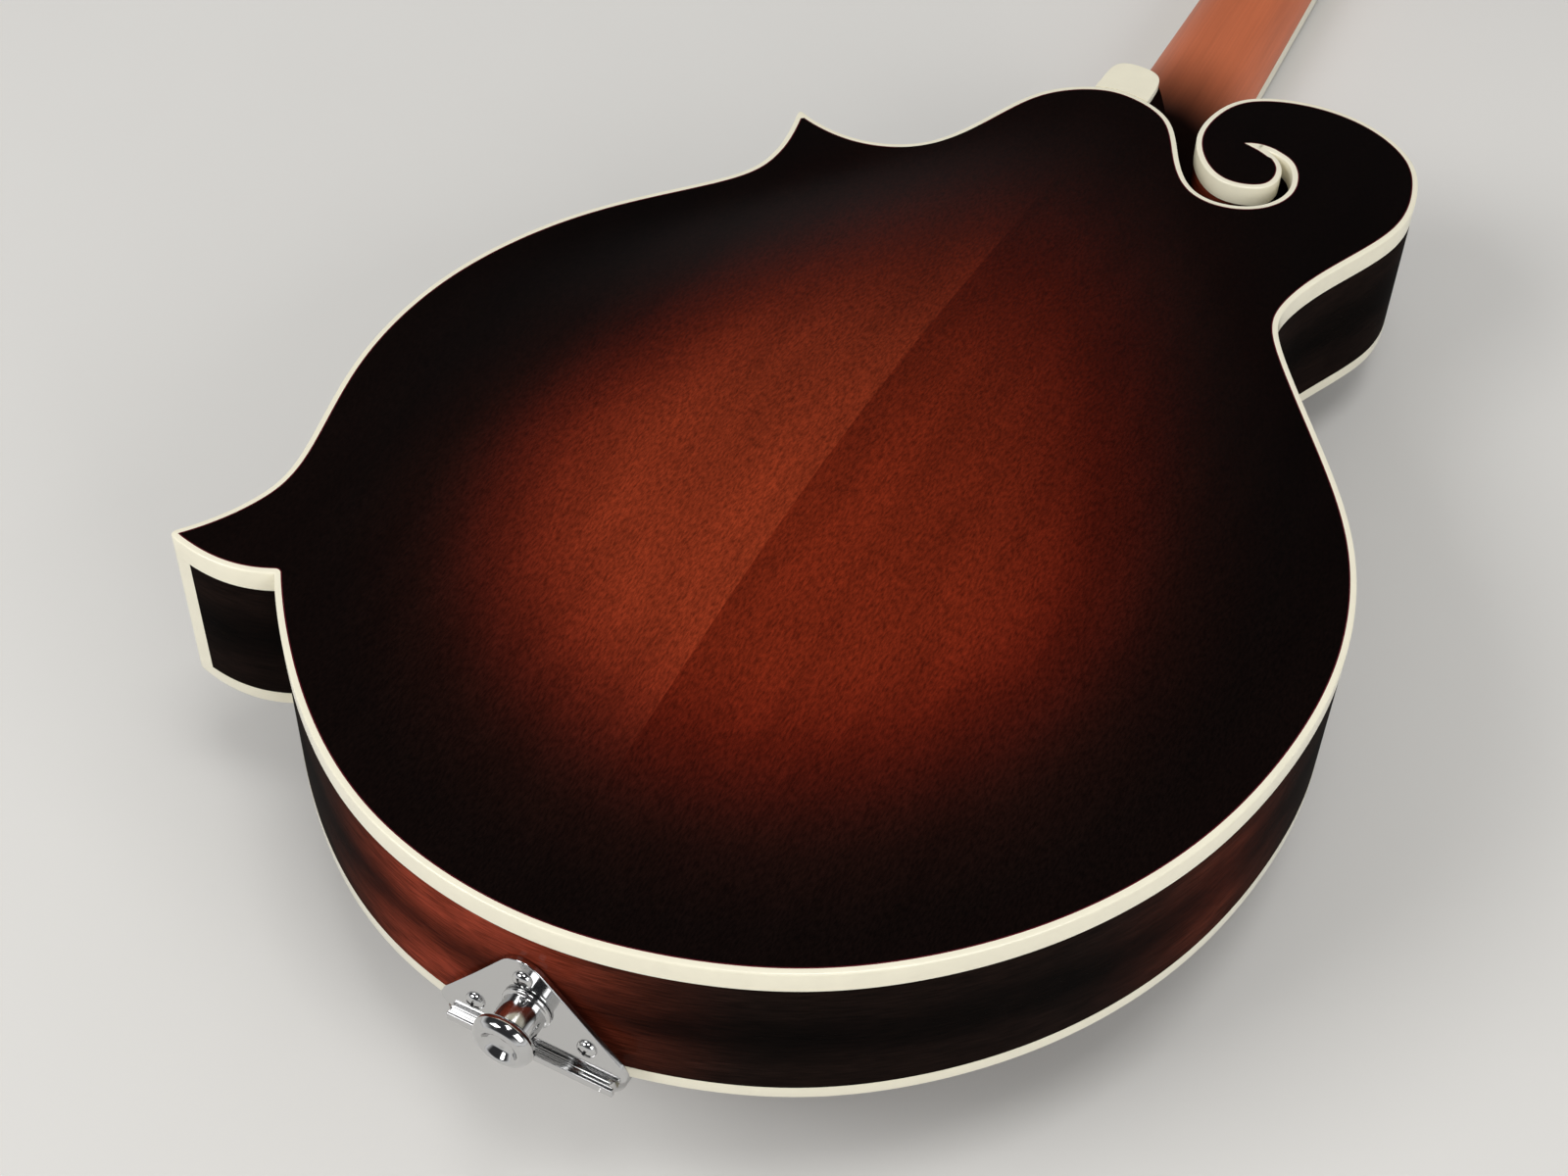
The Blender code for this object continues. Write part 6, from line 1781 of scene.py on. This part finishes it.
@dataclass
class Tailpiece:
    """Chromed tail plate bent over the top's edge, its sliding cover, the end pin and the screws."""

    plate: float = 1.2
    pin_place: Pair = (2.2, 17.6)
    pin_out: float = 12.4
    pin_shank: float = 3.0
    screws: tuple[tuple[str, float, float], ...] = (("apex", 1.5, 26.9), ("bass", -11.6, 9.8), ("treble", 16.5, 11.8))
    hook_y: float = 15.0
    hook_z: float = TOP_Z - 5.4
    spread: float = 1.04                 # how much wider the strings lie here than at the bridge
    wall: float = 1.0
    crown_height: tuple[float, float, float, float] = (8.5, 0.11, 1.1, 1.25)     # flat part and rear: height, slope
    corners: Pairs = (
        (-18.4, -0.7), (20.6, -0.7), (21.0, 3.4), (25.0, 4.1), (26.3, 6.5), (25.2, 9.4), (15.2, 20.8), (5.4, 31.9),
        (1.4, 33.7), (-2.6, 31.9), (-11.2, 20.2), (-19.9, 8.9), (-21.0, 6.3), (-20.1, 3.9), (-18.6, 3.2))
    tray: Pairs = (
        (20.5, 5.0), (20.5, 18.0), (22.5, 27.0), (22.5, 38.0), (17.5, 43.0), (-17.5, 43.0), (-22.5, 38.0),
        (-22.5, 27.0), (-20.5, 18.0), (-20.5, 5.0))
    cover_edge: Pairs = (
        (22.0, 4.0), (22.0, 19.0), (24.8, 29.0), (24.8, 40.0), (20.0, 50.0), (8.0, 54.0), (-8.0, 54.0), (-20.0, 50.0),
        (-24.8, 40.0), (-24.8, 29.0), (-22.0, 19.0), (-22.0, 4.0))

    @property
    def seat(self) -> float:
        """Where the plate's inner face stands behind the tail, in the body frame's y."""
        return -SEAM - 0.1

    @property
    def outer(self) -> float:
        """Where the plate's outer face stands."""
        return self.seat - self.plate

    def build(self) -> None:
        """Builds the plate, the cover, the pin and the screws."""
        self.base()
        self.cover()
        self.pin()
        for name, x, height in self.screws:
            place = plane_frame(BODY, (x, self.outer - HAIRLINE, TOP_Z + height))
            screw = moved(cross_screw(2.4, 1.4, 2.0), Matrix.Rotation(0.4 + x, 4, "Z"))
            piece("cross_screw_" + name, screw, place, CHROME, ["tail_screw_" + name])

    def tray_face(self, x: float, y: float) -> float:
        """Height of the plate's tray over the top."""
        return min(TOP_Z - SEAM - 0.1, top_outer(x, y) - 0.5)

    def base(self) -> None:
        """The triangular plate on the tail, the tray on the top and the hooks that hold the strings' loops."""
        loop = softened([(x, TOP_Z + z) for x, z in self.corners], 2.6)
        holes = [circle(self.pin_shank + 0.3, 32, (self.pin_place[0], TOP_Z + self.pin_place[1]))]
        holes += [circle(1.4, 20, (x, TOP_Z + z)) for _, x, z in self.screws]
        base = slab([loop, *holes], -self.seat, -self.outer)
        soften(base, 0.28, 3, lambda p: p.z > -self.outer - 0.1)
        base = moved(base, plane_frame(Matrix(), (0, 0, 0)))
        sheet = softened([(-18.2, self.outer + 0.2), (20.4, self.outer + 0.2), *self.tray], 2.0)
        tray = slab([sheet], lambda x, y: self.tray_face(x, y) - self.plate, self.tray_face, 2.4)
        base = carved(base, tray, Cut.ADD)
        low = self.tray_face(20.0, self.hook_y) - 0.5
        fold = turned(filleted([(0.0, -18.3), (0.75, -18.3), (0.75, 21.9), (0.0, 21.9)], 0.4), 36)
        parts = [base, moved(fold, plane_frame(Matrix(), (0.0, self.outer + 0.3, TOP_Z + 1.7), (0, 1, 0)))]
        for x in (self.spread * v for v in STRING_AT_BRIDGE):
            hook = softened([(x - 1.0, low + 1.4), (x - 1.0, low - 1.2), (x - 0.8, self.hook_z - 1.3),
                             (x + 0.8, self.hook_z - 1.3), (x + 1.0, low - 1.2), (x + 1.0, low + 1.4)], 0.5)
            bar = soften(slab([hook[::-1]], -1.6, 0.0), 0.2, 2)
            parts.append(moved(bar, plane_frame(Matrix(), (0, self.hook_y - 1.6, 0))))
        piece("tail_plate", joined(parts), BODY, CHROME, ["tailpiece_base"], weighted=True)

    def cover(self) -> None:
        """The cover, a pressed shell with a rolled lip, which slides off towards the tail."""
        rear = self.outer - SEAM - 0.1 - self.wall
        shape = softened([(-18.6, rear), (22.8, rear), *self.cover_edge], 3.0)
        high, slope, lip_height, rear_slope = self.crown_height

        def crown(x: float, y: float) -> float:
            """The height of the cover's outer face, which falls off at the rear."""
            return TOP_Z - min(high + slope * y, lip_height + rear_slope * (y - rear))

        def foot(x: float, y: float) -> float:
            """The height of its edge, clear of the tray and hung over the tail."""
            return TOP_Z + 2.2 if y < 0.0 else top_outer(x, y) - 0.5 - self.plate - SEAM

        shell = slab([shape], crown, foot, 2.0)
        soften(shell, 2.0, 5, lambda p: p.z < crown(0.0, p.y) + 0.3)
        hollow = slab([inset(shape, self.wall)], lambda x, y: crown(x, y) + self.wall, TOP_Z + 8.0)
        soften(hollow, 1.4, 4, lambda p: p.z < crown(0.0, p.y) + self.wall + 0.3)
        shell = carved(shell, hollow)
        mouth = slab([box_loop(-20.6, 20.6, 44.0, 58.0)], lambda x, y: crown(x, y) + 2.0, TOP_Z + 9.0)
        shell = carved(shell, mouth)
        lip = soften(block(-18.6, 23.4, rear - 0.8, rear + 0.5, TOP_Z + 0.3, TOP_Z + 2.7), 0.35, 4)
        shell = carved(shell, lip, Cut.ADD)
        piece("tail_cover", shell, BODY, CHROME, ["tailpiece_cover"], "cover", weighted=True)

    def pin(self) -> None:
        """The end pin: a washer, a barrel and a flared head with a dished middle."""
        tip = self.pin_out
        profile = filleted([(0.0, -14.0), (2.6, -14.0), (self.pin_shank, 0.05), (6.0, 0.05), (6.0, 0.9), (5.2, 1.1),
                            (5.15, tip - 4.9), (5.0, tip - 4.7), (6.6, tip - 4.3), (7.3, tip - 3.7), (7.4, tip - 2.6),
                            (7.0, tip - 1.5), (6.1, tip - 0.6), (5.2, tip - 0.3), (4.5, tip - 0.6), (3.3, tip - 2.2),
                            (1.5, tip - 3.1), (0.0, tip - 3.2)], 0.35, 5)
        x, height = self.pin_place
        place = plane_frame(BODY, (x, self.outer - HAIRLINE, TOP_Z + height))
        piece("strap_pin", turned(profile, 96), place, CHROME, ["end_pin"])


@dataclass
class Strings:
    """Eight strings in four courses, from the tailpiece's hooks to their posts."""

    tail: Tailpiece
    coil_gap: float = 0.06
    coil_start: float = 6.6              # how far the winding starts from the post's tip
    turns: int = 3
    steps: int = 24                      # of each turn
    loop_wire: float = 0.22

    def build(self) -> None:
        """Builds each string with its loop on the hook and its winding on the post."""
        names = ("g1", "g2", "d1", "d2", "a1", "a2", "e1", "e2")
        order = [("bass", k) for k in range(4)] + [("treble", k) for k in (3, 2, 1, 0)]
        for i, (side, k) in enumerate(order):
            radius = 0.5 * STRING_DIAMETERS[i]
            parts = [wire(self.route(i, SIDES[side], POST_ROWS[k]), radius), *self.loop_end(i)]
            piece("strung_" + names[i], joined(parts), NECK, BRONZE_WOUND if i < 4 else STRING_STEEL,
                  ["string_" + names[i]], sharp=60.0)

    def hook(self, i: int) -> Vector:
        """Where a string leaves its hook, in the neck frame."""
        along = self.tail.hook_y + 2.0 + 0.5 * STRING_DIAMETERS[i]
        return BODY_TO_NECK @ Vector((self.tail.spread * STRING_AT_BRIDGE[i], along, self.tail.hook_z + 0.6))

    def route(self, i: int, sign: float, row: float) -> Loop:
        """The path of a string.

        Args:
            i: The string's number.
            sign: Which way its post's row lies from the middle.
            row: Its post's place along the headstock.

        Returns:
            The points in the neck frame.
        """
        radius = 0.5 * STRING_DIAMETERS[i]
        height = radius + 0.001
        path = [self.hook(i)]
        path += [Vector((STRING_AT_BRIDGE[i], -SCALE_LENGTH + d, height)) for d in (-3.2, -2.0, 0.0)]
        path += [Vector((STRING_AT_NUT[i], y, height)) for y in (0.0, 2.0, NUT_LENGTH - 0.4)]
        winding = POST_WAIST + radius + 0.05
        coil_z = -SEAM - VENEER - POST_OUT + self.coil_start
        start = 0.0 if sign < 0 else math.pi
        for step in range(self.steps * self.turns + 1):
            angle = start - sign * 2 * math.pi * step / self.steps
            drop = step / self.steps * (2 * radius + self.coil_gap) if step > 3 else 0.0
            path.append(HEAD_TO_NECK @ Vector((sign * POST_ROW_X + winding * math.cos(angle),
                                               row + winding * math.sin(angle), coil_z - drop)))
        return path

    def loop_end(self, i: int) -> list[Mesh]:
        """The loop round the hook and the twist that closes it.

        Args:
            i: The string's number.

        Returns:
            Their bmeshes, in the neck frame.
        """
        radius = 0.5 * STRING_DIAMETERS[i]
        fine = min(radius, self.loop_wire)
        x, y, z = self.tail.spread * STRING_AT_BRIDGE[i], self.tail.hook_y - 0.8, self.tail.hook_z + 0.6
        ring = [BODY_TO_NECK @ Vector((x + 1.35 * math.sin(a), y + 1.9 * math.cos(a), z))
                for a in (2 * math.pi * k / 28 + 0.25 for k in range(27))]
        start = self.hook(i)
        ahead = (Vector((STRING_AT_BRIDGE[i], -SCALE_LENGTH, radius)) - start).normalized()
        side = ahead.cross(Vector((0.0, 0.0, 1.0))).normalized()
        up = side.cross(ahead)
        reach = radius + fine
        twist = [start + ahead * (0.11 * k) + (side * math.cos(0.7 * k) + up * math.sin(0.7 * k)) * reach
                 for k in range(90)]
        return [wire(ring, fine), wire(twist, fine, 2)]


@dataclass
class InnerWork:
    """The bare pieces inside the body, which stay as the frame holds them."""

    wooden: tuple[str, ...] = ("lining_back", "lining_top", "head_block", "tail_block", "upper_point_block",
                               "lower_point_block", "tone_bar_bass", "tone_bar_treble")
    steel: tuple[str, ...] = ("truss_rod",)

    def build(self) -> None:
        """Gives each carried-over node its finish."""
        for names, finish in ((self.wooden, BARE_SPRUCE), (self.steel, STRING_STEEL)):
            for name in names:
                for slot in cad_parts[name].material_slots:
                    slot.material = finish.material()
                LOG.info("%s keeps its shape", name)


@dataclass
class Studio:
    """Pale floor, soft lamps and the photograph's camera."""

    camera_place: Triple = (176.8, -236.9, 411.6)     # in the body frame
    yaw: float = 26.436
    pitch: float = -46.903
    roll: float = 1.776
    lens: float = 56.16
    floor_half: float = 3.0
    floor_colour: str = "DAD8D4"
    sky_colour: str = "EDEDED"
    sky_stops: tuple[tuple[float, str], ...] = ((0.05, "EDEDED"), (0.42, "3A3A3C"))     # from the horizon upwards
    sky_light: float = 0.42
    lamps: tuple[tuple[str, Triple, float, float], ...] = (      # place, size and power
        ("key", (-0.9, -1.2, 1.35), 0.9, 15.0), ("fill", (1.25, -0.8, 0.9), 0.8, 8.0),
        ("top", (0.3, -0.35, 1.7), 0.5, 6.0))

    def build(self) -> None:
        """Sets up everything that isn't the instrument."""
        self.camera()
        self.floor()
        self.sky()
        for name, place, size, power in self.lamps:
            self.lamp(name, Vector(place), size, power)

    def camera(self) -> None:
        """The camera at the photograph's place and angle."""
        data = bpy.data.cameras.new("camera")
        data.lens, data.sensor_width, data.sensor_fit = self.lens, 36.0, "HORIZONTAL"
        data.clip_start, data.clip_end = 0.01, 30.0
        obj = shown("camera", data)
        level_axes = Matrix(((1, 0, 0), (0, 0, -1), (0, 1, 0)))
        turn = (Matrix.Rotation(math.radians(self.yaw), 3, "Z") @ level_axes
                @ Matrix.Rotation(math.radians(self.pitch), 3, "X") @ Matrix.Rotation(math.radians(self.roll), 3, "Z"))
        place = BODY @ Vector(self.camera_place)
        obj.matrix_world = Matrix.Translation(place) @ (BODY.to_quaternion().to_matrix() @ turn).to_4x4()
        bpy.context.scene.camera = obj

    def lamp(self, name: str, place: Vector, size: float, power: float) -> None:
        """A square softbox that faces the instrument.

        Args:
            name: Its name.
            place: Where it stands, in metres.
            size: Its side in metres.
            power: Its power in watts.
        """
        data = bpy.data.lights.new(name, "AREA")
        data.shape, data.size, data.energy = "SQUARE", size, power
        way = (BODY @ Vector((0.0, 160.0, 0.0)) - place).to_track_quat("-Z", "Y")
        shown(name, data).matrix_world = Matrix.Translation(place) @ way.to_matrix().to_4x4()

    def floor(self) -> None:
        """A plain pale floor of matt paper."""
        bm = bmesh.new()
        bmesh.ops.create_grid(bm, x_segments=2, y_segments=2, size=self.floor_half)
        mesh = datablock("floor", bm)
        mesh.materials.append(Plain("matt_paper", "bare_wood", roughness=0.9, colour=self.floor_colour,
                                    pattern=(160.0, 160.0, 160.0), spread=0.01).material())
        shown("floor", mesh)

    def sky(self) -> None:
        """Even light all round; mirrors see it pale at the horizon and dark overhead."""
        world = bpy.data.worlds.new("studio")
        bpy.context.scene.world = world
        world.use_nodes = True
        tree = world.node_tree
        way = add(tree, "TexCoord").outputs["Generated"]
        ramp = add(tree, "ValToRGB", {"Fac": add(tree, "SeparateXYZ", (way,)).outputs["Z"]})
        ramp.color_ramp.interpolation = "EASE"
        for element, (place, colour) in zip(ramp.color_ramp.elements, self.sky_stops):
            element.position, element.color = place, linear(colour)
        rays = add(tree, "LightPath").outputs
        seen = add(tree, "Mix", {0: rays["Is Camera Ray"], 6: ramp, 7: linear(self.sky_colour)}, data_type="RGBA")
        open_rays = together(tree, "MAXIMUM", [rays[kind] for kind in (
            "Is Glossy Ray", "Is Transmission Ray", "Is Camera Ray")])
        soft = tree.nodes["Background"]
        feed(tree, soft, {"Color": linear("FFFFFF"), "Strength": self.sky_light})
        plain = add(tree, "Background", {"Color": seen.outputs[2], "Strength": 1.0})
        feed(tree, tree.nodes["World Output"], {"Surface": add(tree, "MixShader", (open_rays, soft, plain))})


def main() -> None:
    """Builds the sub-assemblies in order."""
    logging.basicConfig(level=logging.INFO, format="%(name)s: %(message)s")
    bpy.context.scene.view_settings.view_transform = "Standard"
    Studio().build()
    BodyShell().build()
    Neck().build()
    Fretboard().build()
    TuningMachines().build()
    Bridge().build()
    tail = Tailpiece()
    tail.build()
    Strings(tail).build()
    InnerWork().build()


if __name__ == "__main__":
    main()
